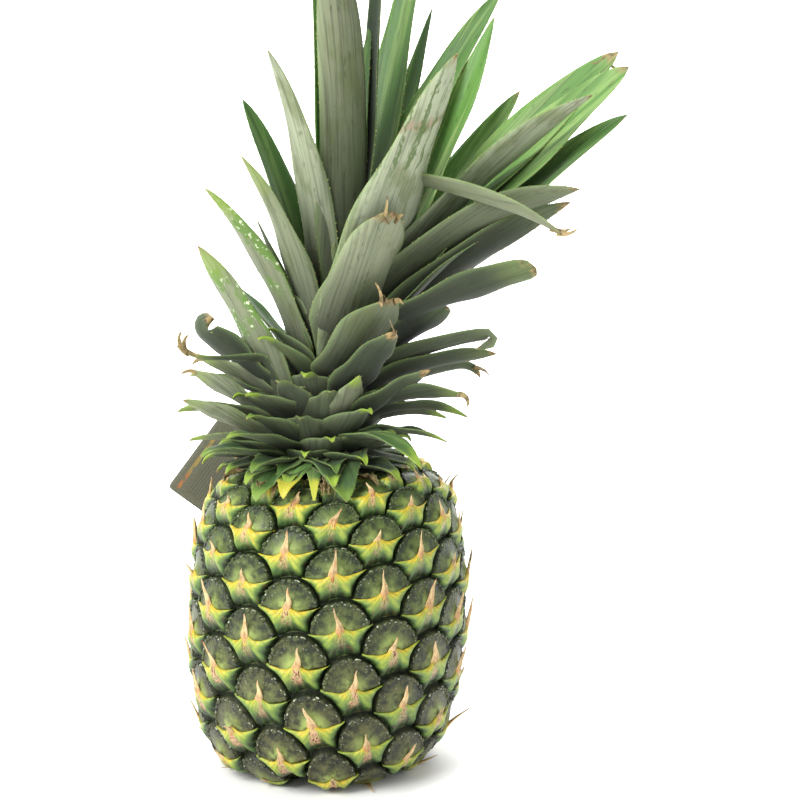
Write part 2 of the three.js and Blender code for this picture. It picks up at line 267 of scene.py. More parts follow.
def closed_shell(front: np.ndarray, back: np.ndarray) -> tuple[np.ndarray, list]:
    """Join two grids of points into one closed shell with walls round its border.

    Args:
        front: Rows running down and columns to the right, as seen from outside.
        back: The same grid on the other side.

    Returns:
        The vertices and the faces, all facing outwards.
    """
    shape = front.shape[:2]
    f = np.arange(math.prod(shape)).reshape(shape)
    b = f + f.size
    sides = [
        (f[:-1, :-1], f[1:, :-1], f[1:, 1:], f[:-1, 1:]),
        (b[:-1, :-1], b[:-1, 1:], b[1:, 1:], b[1:, :-1]),
        (f[0, :-1], f[0, 1:], b[0, 1:], b[0, :-1]),
        (f[-1, 1:], f[-1, :-1], b[-1, :-1], b[-1, 1:]),
        (f[1:, 0], f[:-1, 0], b[:-1, 0], b[1:, 0]),
        (f[:-1, -1], f[1:, -1], b[1:, -1], b[:-1, -1]),
    ]
    points = np.concatenate([grid.reshape(-1, grid.shape[2]) for grid in (front, back)])
    return points, np.concatenate([columns(*side).reshape(-1, 4) for side in sides]).tolist()


def mesh_object(
    name: str,
    points: np.ndarray,
    faces: list,
    attributes: dict[str, np.ndarray] | None = None,
    material: Material | None = None,
    collection: Collection | None = None,
) -> Object:
    """Make a smooth mesh object with its vertex attributes.

    Args:
        name: Name of the object and of its mesh.
        points: One row of three coordinates per vertex, in metres.
        faces: Vertex numbers of each face.
        attributes: Values for each vertex, in one column or in three.
        material: Finish of the faces.
        collection: Where the object goes; the scene's own collection by default.

    Returns:
        The new object.
    """
    mesh = bpy.data.meshes.new(name)
    mesh.from_pydata(points.tolist(), [], faces)
    for key, values in (attributes or {}).items():
        is_vector = values.ndim == 2
        layer = mesh.attributes.new(key, "FLOAT_VECTOR" if is_vector else "FLOAT", "POINT")
        layer.data.foreach_set("vector" if is_vector else "value", values.astype(np.float32).ravel())
    if material:
        mesh.materials.append(material)
    return linked(mesh, collection)


def grown_mesh(source: Object, tree: NodeTree, values: dict[str, Any], name: str) -> Object:
    """Run a Geometry Nodes tree on an object, keep the result as a plain mesh and remove the source.

    Args:
        source: Object that the tree starts from.
        tree: The tree.
        values: Value of each named input; the only finish of the mesh is its Material.
        name: Name of the plain object.

    Returns:
        The plain object.
    """
    modifier = source.modifiers.new(tree.name, "NODES")
    modifier.node_group = tree
    for item in tree.interface.items_tree:
        if item.item_type == "SOCKET" and item.name in values:
            modifier[item.identifier] = values[item.name]
    graph = bpy.context.evaluated_depsgraph_get()
    mesh = bpy.data.meshes.new_from_object(
        source.evaluated_get(graph), preserve_all_data_layers=True, depsgraph=graph
    )
    source.modifiers.clear()
    bpy.data.objects.remove(source)
    mesh.name = name
    mesh.materials.clear()
    mesh.materials.append(values["Material"])
    mesh.polygons.foreach_set("material_index", [0] * len(mesh.polygons))
    return linked(mesh)


def linked(mesh: Mesh, collection: Collection | None = None) -> Object:
    """Smooth a mesh and put it in a collection as an object of the same name.

    Args:
        mesh: The mesh.
        collection: Where the object goes; the scene's own collection by default.

    Returns:
        The new object.
    """
    mesh.polygons.foreach_set("use_smooth", [True] * len(mesh.polygons))
    mesh.update()
    made = bpy.data.objects.new(mesh.name, mesh)
    (collection or bpy.context.scene.collection).objects.link(made)
    return made


# Materials


def new_material(name: str) -> tuple[Material, Callable]:
    """Start a material with an empty tree.

    Args:
        name: Name of the material.

    Returns:
        The material, and the function that adds a node to its tree.
    """
    material = bpy.data.materials.new(name)
    material.use_nodes = True
    material.node_tree.nodes.clear()
    return material, partial(add_node, material.node_tree)


@dataclass(frozen=True)
class ShieldSkin:
    """Skin of the eyes: waxy, dark green, pleated outwards from the middle.

    The wax scatters a soft highlight, and a broken row of whitish painted highlights runs along the upper
    rim, over the pleats.
    """

    name: str = "waxy_eye_skin"
    # Near-black green painted as shade: in the groove between eyes, in the radial creases and over the outer
    # upper part of each eye
    groove: str = "141c0c"
    low_dark: str = "26281a"
    low_middle: str = "565634"
    dark: str = "263416"
    middle: str = "4d6029"
    pale: str = "727f48"
    # Pale green of the patch round the middle of each eye: partly its own paler skin, partly painted
    # highlight
    halo_and_highlight: str = "9cae5c"
    # Whitish colour of the wax flecks, and of the painted highlights along the upper rim
    wax: str = "b4baa0"
    mottle_mm: float = 3.4
    wax_mm: float = 1.5
    pleats: float = 26.0
    # Dashes of painted highlight round the rim
    glints: float = 15.0

    def build(self) -> Material:
        """Make the material.

        Returns:
            The material of the rind.
        """
        material, put = new_material(self.name)
        at = put("object_place")
        eye = put("stored_vector", attribute_name="eye_at")
        across, above, reach = put("split", eye)
        chance = put("stored_number", attribute_name="eye_chance")
        high = put("rise", put("stored_number", attribute_name="eye_number"), -45.0, 50.0)
        mottle = put("noise", at, per_mm(self.mottle_mm), 2.0, 0.5)
        dark = put("mix", high, self.low_dark, self.dark)
        middle = put("mix", high, self.low_middle, self.middle)
        fine = put("rise", put("noise", at, per_mm(1.3)), 0.52, 0.72, 0.0, 0.3)

        distance = put("V_LENGTH", put("V_MULTIPLY", eye, (1.0, 1.0, 0.0)))
        patchy = put("rise", put("noise", at, per_mm(5.0)), 0.35, 0.62, 0.1, 1.0)
        # Paler patch round the middle, partly painted highlight, stronger on some eyes than others
        lit = put("rise", chance, 0.0, 1.0, 0.55, 1.0)
        halo_highlight_share = put("MULTIPLY", put("rise", distance, 2.0, 8.5, 1.0, 0.0), patchy, lit)

        angle = put("ARCTAN2", across, above)
        wobble = put("MULTIPLY", put("noise", at, per_mm(4.0)), 9.0)
        wave = put("SINE", put("MULTIPLY_ADD", angle, self.pleats, wobble))
        # Radial creases near the rim: a bump, and painted shade in their hollows
        crease = put("MULTIPLY", put("rise", wave, 0.1, 0.9), put("rise", reach, 0.6, 0.85))
        shadow = put("MULTIPLY", put("rise", reach, 0.55, 0.9), put("rise", above, -1.0, 2.0), 0.35)
        # Painted shade in the groove between eyes
        rim = put("MULTIPLY", put("rise", reach, 0.93, 0.985), 0.94)

        spot = put("rise", put("cells", at, per_mm(self.wax_mm)), 0.16, 0.34, 1.0, 0.0)
        ring = put("MULTIPLY", put("rise", distance, 5.5, 9.0), put("rise", reach, 0.92, 0.86))
        wax = put("MULTIPLY", ring, put("rise", put("noise", at, per_mm(2.4)), 0.5, 0.62), spot, 0.3)
        # Painted highlight: a broken row of whitish dashes along the upper rim, stronger on lower eyes
        dots = put("rise", put("SINE", put("MULTIPLY_ADD", angle, self.glints, wobble)), -1.2, -0.1)
        line = put("MULTIPLY_ADD", wave, 0.012, reach)
        row = put("MULTIPLY", put("rise", line, 0.868, 0.884), put("rise", line, 0.92, 0.9))
        row = put("MULTIPLY", row, put("rise", above, 0.5, 3.5), dots, patchy)
        painted_glint = put("MULTIPLY", row, put("rise", high, 0.1, 0.9, 1.3, 0.8))
        colour = put("mix", put("rise", mottle, 0.36, 0.62), dark, middle)
        for share, hue in (
            (fine, self.pale),
            (halo_highlight_share, self.halo_and_highlight),
            # painted shade in the creases
            (put("MULTIPLY", crease, 0.45), self.groove),
            (shadow, self.groove),
            # painted shade in the groove
            (rim, self.groove),
            (wax, self.wax),
            # painted highlight
            (painted_glint, self.wax),
        ):
            colour = put("mix", share, colour, hue)

        height = put("MULTIPLY_ADD", crease, -0.7, put("noise", at, per_mm(1.2)))
        height = put("MULTIPLY_ADD", spot, 0.25, height)
        surface = put(
            "principled",
            Base_Color=colour,
            Roughness=put("rise", mottle, 0.3, 0.7, 0.42, 0.58),
            Specular_IOR_Level=0.35,
            Normal=put("bump", height, 0.3 * MM, 0.7),
            Coat_Weight=0.05,
            Coat_Roughness=0.3,
        )
        put("surface", surface)
        return material


@dataclass(frozen=True)
class BractSkin:
    """Fleshy bract below each eye: yellow where it ripens, green below, with a dried straw tip.

    The flesh is smooth and a little shiny, and the dead tip is dull and fibrous.
    """

    name: str = "fleshy_bract"
    ripe: str = "cbb230"
    lime: str = "98a83c"
    green: str = "547433"
    deep: str = "26341c"
    dry_base: str = "b4692c"
    straw: str = "dac08e"
    pale_tip: str = "bf977a"
    scab: str = "c9a37c"
    burnt: str = "6b3a1e"
    streak_mm: float = 0.65

    def build(self) -> Material:
        """Make the material.

        Returns:
            The material of the bracts.
        """
        material, put = new_material(self.name)
        at = put("object_place")
        across, above, part = put("split", put("stored_vector", attribute_name="eye_at"))
        number = put("stored_number", attribute_name="eye_number")
        chance = put("stored_number", attribute_name="eye_chance")
        cloud = put("noise", at, per_mm(3.0), 3.0)
        aside = put("ABSOLUTE", across)
        spike = put("MAXIMUM", part, 0.0)
        below = put("MAXIMUM", put("MULTIPLY", part, -1.0), 0.0)

        fan = put("ARCTAN2", across, put("SUBTRACT", above, 2.0))
        leg = put("ABSOLUTE", put("SUBTRACT", put("ABSOLUTE", fan), 2.5))
        leg = put("MULTIPLY", put("rise", leg, 0.04, 0.24, 0.3, 0.0), put("rise", below, 0.2, 0.6))
        ripeness = put("rise", number, -35.0, 55.0, 0.19, -0.06)
        ripeness = put("MULTIPLY_ADD", chance, -0.16, ripeness)
        depth = put("MULTIPLY_ADD", below, 1.1, ripeness)
        depth = put("ADD", depth, put("MULTIPLY_ADD", cloud, 0.5, -0.24))
        depth = put("ADD", put("SUBTRACT", depth, leg), put("rise", aside, 3.0, 12.0, 0.0, 0.16))
        colour = put(
            "ramp",
            depth,
            stops=[(0.05, self.ripe), (0.25, self.lime), (0.54, self.green), (0.82, self.deep)],
        )
        ray = put("SINE", put("MULTIPLY_ADD", fan, 23.0, put("MULTIPLY", cloud, 7.0)))

        flake = put("noise", put("drawn", at, (1.0, 1.0, 0.3)), per_mm(1.1), 3.0)
        wide = put("rise", above, 2.5, -5.0, 1.3, 3.2)
        scab = put(
            "MULTIPLY",
            put("rise", put("DIVIDE", aside, wide), 0.3, 1.0, 1.0, 0.0),
            put("rise", above, 3.0, 1.0),
            put("rise", above, -8.5, -4.5),
            put("rise", flake, 0.36, 0.54),
            put("rise", chance, 0.0, 0.9, 0.35, 0.9),
            put("rise", number, 5.0, -40.0, 1.0, 2.4),
        )

        fibre = put("noise", put("drawn", at, (1.0, 1.0, 0.22)), per_mm(self.streak_mm), 3.0)
        dry = put(
            "ramp",
            put("ADD", fibre, put("SUBTRACT", spike, 0.56)),
            stops=[(0.0, self.dry_base), (0.3, self.straw), (0.8, self.straw), (1.0, self.pale_tip)],
        )
        for share, hue in (
            (put("rise", ray, 0.1, 1.0, 0.0, 0.36), self.green),
            (scab, put("mix", put("rise", flake, 0.5, 0.62), self.scab, self.burnt)),
            (
                put("rise", put("MULTIPLY_ADD", cloud, 0.3, spike), 0.16, 0.36),
                put("mix", put("rise", fibre, 0.48, 0.64, 0.0, 0.55), dry, self.dry_base),
            ),
        ):
            colour = put("mix", share, colour, hue)

        surface = put(
            "principled",
            Base_Color=colour,
            Roughness=put("rise", spike, 0.1, 0.3, 0.45, 0.8),
            Normal=put("bump", put("MULTIPLY_ADD", ray, 0.3, fibre), 0.25 * MM, 0.8),
            Subsurface_Weight=0.06,
            Subsurface_Radius=(0.6, 0.9, 0.2),
            Subsurface_Scale=0.0015,
        )
        put("surface", surface)
        return material


@dataclass(frozen=True)
class LeafSkin:
    """Crown leaf: tough, fine ribs along it, a grey powdery bloom outside and clear green inside.

    The bloom scatters light, so the outside looks matt and pale, and dead tips turn to straw. Painted shade
    darkens the foot and shaded leaves.
    """

    name: str = "leaf_with_bloom"
    bloom: str = "82886c"
    chalk: str = "c6cfb2"
    grey_green: str = "5a634a"
    # Dark of the rib lines and fine flecks, and of the painted shade towards the foot and on leaves given
    # shade
    foot: str = "23281f"
    dark_green: str = "264026"
    fresh_green: str = "5c873d"
    stripe: str = "8aa660"
    lime: str = "8ca63a"
    gold: str = "c6b53c"
    rubbed: str = "5f7d3b"
    worn: str = "c3cbae"
    olive: str = "667042"
    scratch: str = "55693a"
    straw: str = "988358"
    cork: str = "a38d7a"
    burnt: str = "4d3a26"
    rib_mm: float = 0.9
    smudge_mm: float = 11.0

    def build(self) -> Material:
        """Make the material.

        Returns:
            The material of every crown leaf.
        """
        material, put = new_material(self.name)
        along, across, face = put("split", put("stored_vector", attribute_name="leaf_at"))
        side_mm, along_mm, seed = put("split", put("stored_vector", attribute_name="leaf_mm"))
        fresh, bloom, dry = put("split", put("stored_vector", attribute_name="leaf_tone"))
        scar, rubbed, lime = put("split", put("stored_vector", attribute_name="leaf_mark"))
        # Painted shade given to each leaf
        deep = put("stored_number", attribute_name="leaf_shade")
        flat = put("join", side_mm, along_mm, put("MULTIPLY", seed, 300.0))
        ribs, bands, smudge, small, spots = (
            put("noise", put("drawn", flat, (1.0, slender, 1.0)), 1 / wide, 3.0)
            for wide, slender in (
                (self.rib_mm, 0.02),
                (4.5, 0.05),
                (self.smudge_mm, 0.45),
                (2.2, 0.3),
                (1.8, 0.8),
            )
        )

        pale = put("MULTIPLY", put("rise", bands, 0.47, 0.62), put("MULTIPLY", fresh, 0.75))
        inner = put("mix", pale, put("mix", fresh, self.dark_green, self.fresh_green), self.stripe)
        colour = inner
        for share, hue in (
            (0.45, self.grey_green),
            (bloom, self.bloom),
            (put("SUBTRACT", bloom, 1.0), self.chalk),
            (put("rise", smudge, 0.48, 0.66, 0.0, 0.6), self.olive),
            (put("rise", bands, 0.5, 0.66, 0.0, 0.35), self.grey_green),
        ):
            colour = put("mix", share, colour, hue)

        # Painted shade towards the foot of each leaf, less on fresh leaves
        low = put("rise", put("MULTIPLY_ADD", smudge, 0.12, along), 0.12, 0.8, 0.85, 0.0)
        edge = put("MULTIPLY", put("POWER", put("ABSOLUTE", across), 12.0), 0.3)
        patch = put("MULTIPLY", put("rise", smudge, 0.44, 0.56), put("rise", along, 0.42, 0.62), rubbed)
        patch = put("MULTIPLY", patch, put("rise", along, 1.0, 0.86))
        tip = put("MULTIPLY_ADD", small, 0.16, along)
        yellow = put("SUBTRACT", put("MAXIMUM", lime, 1.0), 1.0)
        end = put("rise", put("MULTIPLY_ADD", yellow, 0.6, tip), 0.84, 1.0)
        start = put("SUBTRACT", 1.08, dry)
        dead = put("rise", tip, put("SUBTRACT", start, 0.03), put("ADD", start, 0.02))
        straw = put("mix", put("rise", spots, 0.42, 0.7), self.straw, self.burnt)
        for share, hue in (
            (put("rise", face, -0.2, 0.2), inner),
            (put("rise", ribs, 0.46, 0.66, 0.0, 0.38), self.foot),
            (put("rise", small, 0.6, 0.72, 0.0, 0.4), self.foot),
            # painted shade: on leaves given shade, lighter near the tip; then towards the foot of each leaf
            (put("MULTIPLY", deep, put("rise", along, 0.72, 0.97, 1.0, 0.4)), self.foot),
            (put("MULTIPLY", low, put("rise", fresh, 0.6, 1.0, 1.0, 0.5)), self.foot),
            (edge, self.stripe),
            (patch, self.rubbed),
            (put("MULTIPLY", patch, put("rise", spots, 0.58, 0.66)), self.worn),
            (put("MULTIPLY", end, lime), put("mix", put("MULTIPLY", yellow, 3.0), self.lime, self.gold)),
            *self._scars(put, side_mm, along_mm, scar, small),
            (dead, put("mix", put("rise", bands, 0.5, 0.64, 0.0, 0.4), straw, self.olive)),
        ):
            colour = put("mix", share, colour, hue)

        surface = put(
            "principled",
            Base_Color=colour,
            Roughness=put("MULTIPLY_ADD", deep, 0.3, put("MULTIPLY_ADD", bloom, 0.2, 0.4)),
            Normal=put("bump", put("MULTIPLY_ADD", small, 0.5, ribs), 0.3 * MM, 0.6),
            Specular_IOR_Level=0.32,
            Sheen_Weight=0.04,
            Sheen_Roughness=0.5,
            Subsurface_Weight=0.06,
            Subsurface_Radius=(0.5, 1.0, 0.2),
            Subsurface_Scale=0.002,
        )
        put("surface", surface)
        return material

    def _scars(self, put: Callable, side_mm: Any, along_mm: Any, scar: Any, small: Any) -> list[tuple]:
        """Give the corky scar across a leaf and the dark scratches on both sides of it.

        Args:
            put: Function that adds a node.
            side_mm: Distance from the midrib.
            along_mm: Distance from the foot.
            scar: One where the leaf is scarred.
            small: Fine noise along the leaf.

        Returns:
            The layers of colour, the scar first.
        """
        line = put("MULTIPLY_ADD", small, 13.0, put("MULTIPLY_ADD", side_mm, 0.35, along_mm))
        band = put("MULTIPLY", put("rise", line, 121.0, 123.0), put("rise", line, 128.5, 125.0), scar, 0.8)
        wave = put("MULTIPLY_ADD", side_mm, 1.1, put("MULTIPLY", small, 9.0))
        thin = put("rise", put("SINE", wave), 0.45, 0.9)
        near = put("MULTIPLY", put("rise", along_mm, 84.0, 100.0), put("rise", along_mm, 150.0, 134.0), thin)
        return [
            (band, put("mix", put("rise", small, 0.45, 0.55), self.cork, self.olive)),
            (put("MULTIPLY", near, put("rise", small, 0.36, 0.48), scar, 0.85), self.scratch),
        ]


@dataclass(frozen=True)
class ToothSkin:
    """Tiny hard teeth of the leaf edge: straw coloured horn, drier and paler than the leaf."""

    name: str = "leaf_tooth_horn"
    horn: str = "b7b56a"
    brown: str = "7f6a3a"

    def build(self) -> Material:
        """Make the material.

        Returns:
            The material of the teeth.
        """
        material, put = new_material(self.name)
        cloud = put("noise", put("object_place"), per_mm(6.0))
        colour = put("mix", put("rise", cloud, 0.4, 0.6), self.horn, self.brown)
        put("surface", put("principled", Base_Color=colour, Roughness=0.55))
        return material


@dataclass(frozen=True)
class StemSkin:
    """Short stem inside the crown: fibrous, painted dark all over as shade from the leaf feet round it."""

    name: str = "fibrous_stem"
    shade: str = "1f2a18"
    fibre: str = "56653c"

    def build(self) -> Material:
        """Make the material.

        Returns:
            The material of the stem.
        """
        material, put = new_material(self.name)
        grain = put("noise", put("drawn", put("object_place"), (1.0, 1.0, 0.15)), per_mm(1.2), 3.0)
        colour = put("mix", put("rise", grain, 0.4, 0.65), self.shade, self.fibre)
        bump = put("bump", grain, 0.4 * MM, 0.7)
        put("surface", put("principled", Base_Color=colour, Roughness=0.75, Normal=bump))
        return material


@dataclass(frozen=True)
class PrintedCard:
    """Uncoated recycled card, olive grey, with plain printed bars along its length.

    Its pulp shows as faint flecks, and the ink is as matt as the card.
    """

    name: str = "printed_card"
    pulp: str = "5e5e4d"
    fleck: str = "4f5043"
    ochre: str = "978141"
    orange: str = "a06636"
    ink: str = "3f3e36"
    flecks_mm: float = 0.8
    bar_mm: float = 1.3

    def build(self) -> Material:
        """Make the material.

        Returns:
            The material of the tag.
        """
        material, put = new_material(self.name)
        wide, tall, _ = put("split", put("stored_vector", attribute_name="card_at"))
        at = put("object_place")
        grain = put("noise", at, per_mm(self.flecks_mm), 3.0, 0.7)
        colour = put("mix", put("rise", grain, 0.45, 0.65), self.pulp, self.fleck)
        stripe = put("MULTIPLY", put("rise", wide, 2.9, 3.2), put("rise", wide, 4.9, 4.6))
        length = put("MULTIPLY", put("rise", tall, 2.0, 2.4), put("rise", tall, 34.0, 33.6))
        worn = put("rise", put("noise", at, per_mm(1.6)), 0.4, 0.52, 0.1, 1.0)
        row = put("FRACT", put("DIVIDE", wide, self.bar_mm))
        bars = put("MULTIPLY", put("rise", row, 0.3, 0.36), put("rise", row, 0.66, 0.6))
        block = put("MULTIPLY", put("rise", wide, 7.0, 7.2), put("rise", wide, 27.0, 26.8))
        ends = put("MULTIPLY", put("rise", tall, 3.0, 3.3), put("rise", tall, 39.0, 38.7), 0.65)
        for share, hue in (
            (
                put("MULTIPLY", stripe, length, worn, 0.8),
                put("mix", put("rise", tall, 9.0, 13.0), self.orange, self.ochre),
            ),
            (put("MULTIPLY", bars, block, ends), self.ink),
        ):
            colour = put("mix", share, colour, hue)
        bump = put("bump", grain, 0.05 * MM, 0.5)
        put("surface", put("principled", Base_Color=colour, Roughness=0.85, Normal=bump))
        return material


@dataclass(frozen=True)
class StudioPaper:
    """Seamless white paper under and behind the fruit: matt, with a barely visible tooth."""

    name: str = "studio_paper"
    paper: str = "fafafa"
    shade: str = "f2f2f1"

    def build(self) -> Material:
        """Make the material.

        Returns:
            The material of the floor.
        """
        material, put = new_material(self.name)
        cloud = put("noise", put("object_place"), per_mm(240.0))
        colour = put("mix", cloud, self.paper, self.shade)
        put("surface", put("principled", Base_Color=colour, Roughness=0.95, Specular_IOR_Level=0.1))
        return material


# Fruit


@dataclass(frozen=True)
class FruitForm:
    """Side profile of the fruit body."""

    radius: float = 58.0
    height: float = 131.0
    side_exponent: float = 0.31
    end_exponent: float = 0.97
    lean: float = 0.036
    steps: int = 720
    crowding: float = 0.25
    narrowest: float = 0.05

    def samples(self) -> np.ndarray:
        """Sample the profile from the bottom up.

        Returns:
            Rows of distance along, radius and height.
        """
        angle = np.pi * (np.arange(self.steps + 1) / self.steps - 0.5)
        radius = self.radius * np.maximum(np.cos(angle), 0) ** self.side_exponent
        sine = np.sin(angle)
        height = self.height / 2 * (1 + np.sign(sine) * np.abs(sine) ** self.end_exponent)
        step = np.hypot(np.diff(radius), np.diff(height))
        around = np.maximum((radius[1:] + radius[:-1]) / 2 / self.radius, self.narrowest)
        along = np.concatenate([[0], np.cumsum(step / around**self.crowding)])
        return columns(along - along[self.steps // 2], radius, height)

    def shoulder(self, distance: np.ndarray) -> np.ndarray:
        """Give the height of the fruit's top at distances from its axis.

        Args:
            distance: Distances from the axis.

        Returns:
            Heights, zero beyond the widest place.
        """
        upper = self.samples()[self.steps // 2 :]
        height = np.interp(distance, upper[::-1, 1], upper[::-1, 2])
        return np.where(distance > self.radius, 0.0, height)


@dataclass(frozen=True)
class EyeLattice:
    """Spiral places of the eyes: each follows the last by a fixed turn and a small rise."""

    turn: float = math.radians(99.75)
    turn_drift: float = 0.000064
    first_turn: float = math.radians(6.5)
    rise: float = 1.33
    rise_sag: float = 0.003
    first_rise: float = 8.6
    steep: int = 11
    shallow: int = 7
    first: int = -56
    last: int = 66

    def neighbours(self) -> list[int]:
        """Give the steps in number to the six neighbours, turning left from the upper right."""
        both = self.steep + self.shallow
        return [self.steep, both, self.shallow, -self.steep, -both, -self.shallow]

    def terms(self, step: int) -> np.ndarray:
        """Give the way from an eye to another as numbers that change evenly with its own number.

        Args:
            step: Difference in number between the two eyes.

        Returns:
            Turn and its change per eye, then rise and its change per eye.
        """
        turn = self.turn * step
        turn -= 2 * math.pi * round(turn / (2 * math.pi))
        return np.array(
            [
                turn + self.turn_drift * step**2,
                2 * self.turn_drift * step,
                self.rise * step - self.rise_sag * step**2,
                -2 * self.rise_sag * step,
            ]
        )

    def laid(self, across: np.ndarray, above: np.ndarray, radius: float) -> np.ndarray:
        """Give the terms of places that lie so many millimetres across and above an eye's middle."""
        share = above / self.rise
        return columns(across / radius, 2 * self.turn_drift * share, above, -2 * self.rise_sag * share)

    def outline(self, per_side: int, bulge: float) -> np.ndarray:
        """Give the edge of an eye, whose upper sides bulge and whose lower sides give way.

        Args:
            per_side: Points on each of the six sides.
            bulge: Depth of the bulge as a share of the way to the neighbour.

        Returns:
            A row of four terms for each point, turning left from the upper right corner.
        """
        steps = self.neighbours()
        ways = [self.terms(step) for step in steps]
        sides = len(steps)
        corners = [(ways[i] + ways[(i + 1) % sides]) / 3 for i in range(sides)]
        points = []
        for i in range(sides):
            beyond = (i + 1) % sides
            push = bulge * np.sign(steps[beyond]) * ways[beyond]
            for t in np.arange(per_side) / per_side:
                points.append(blend(corners[i], corners[beyond], t) + 4 * t * (1 - t) * push)
        return np.array(points)


@dataclass
class EyePart:
    """Vertices of one part of an eye, with the terms that lay them on the fruit."""

    terms: np.ndarray
    lift: np.ndarray
    place: np.ndarray
    faces: list

    def make(self, name: str, collection: Collection) -> Object:
        """Make the part as a mesh that the eye tree can lay on the fruit.

        Args:
            name: Name of the object.
            collection: Collection of the kinds of this part.

        Returns:
            The new object.
        """
        turn, turn_rate, rise, rise_rate = self.terms.T
        attributes = {
            "lay": columns(turn, rise, 0.0),
            "lay_rate": columns(turn_rate, rise_rate, 0.0),
            "lift": self.lift,
            "eye_at": self.place,
        }
        return mesh_object(name, self.place * MM, self.faces, attributes, collection=collection)


def joined_parts(parts: list[EyePart]) -> EyePart:
    """Join parts of an eye into one."""
    faces, start = [], 0
    for part in parts:
        faces += shifted(part.faces, start)
        start += len(part.terms)
    terms, lift, place = (
        np.concatenate([getattr(part, key) for part in parts]) for key in ("terms", "lift", "place")
    )
    return EyePart(terms, lift, place, faces)


class Look(Enum):
    """Ways in which the dried tip of a bract stands: its length, lean aside, stand and hook."""

    UPRIGHT = (11.0, 0.6, 2.0, 0.0)
    LEFT = (10.5, -3.2, 2.2, 0.0)
    RIGHT = (11.5, 2.8, 2.0, 0.0)
    STUB = (6.0, 0.4, 1.4, 0.0)
    HOOKED = (8.5, 2.6, 5.2, -2.4)
    HAIR = (12.0, -2.4, 7.0, 0.0)


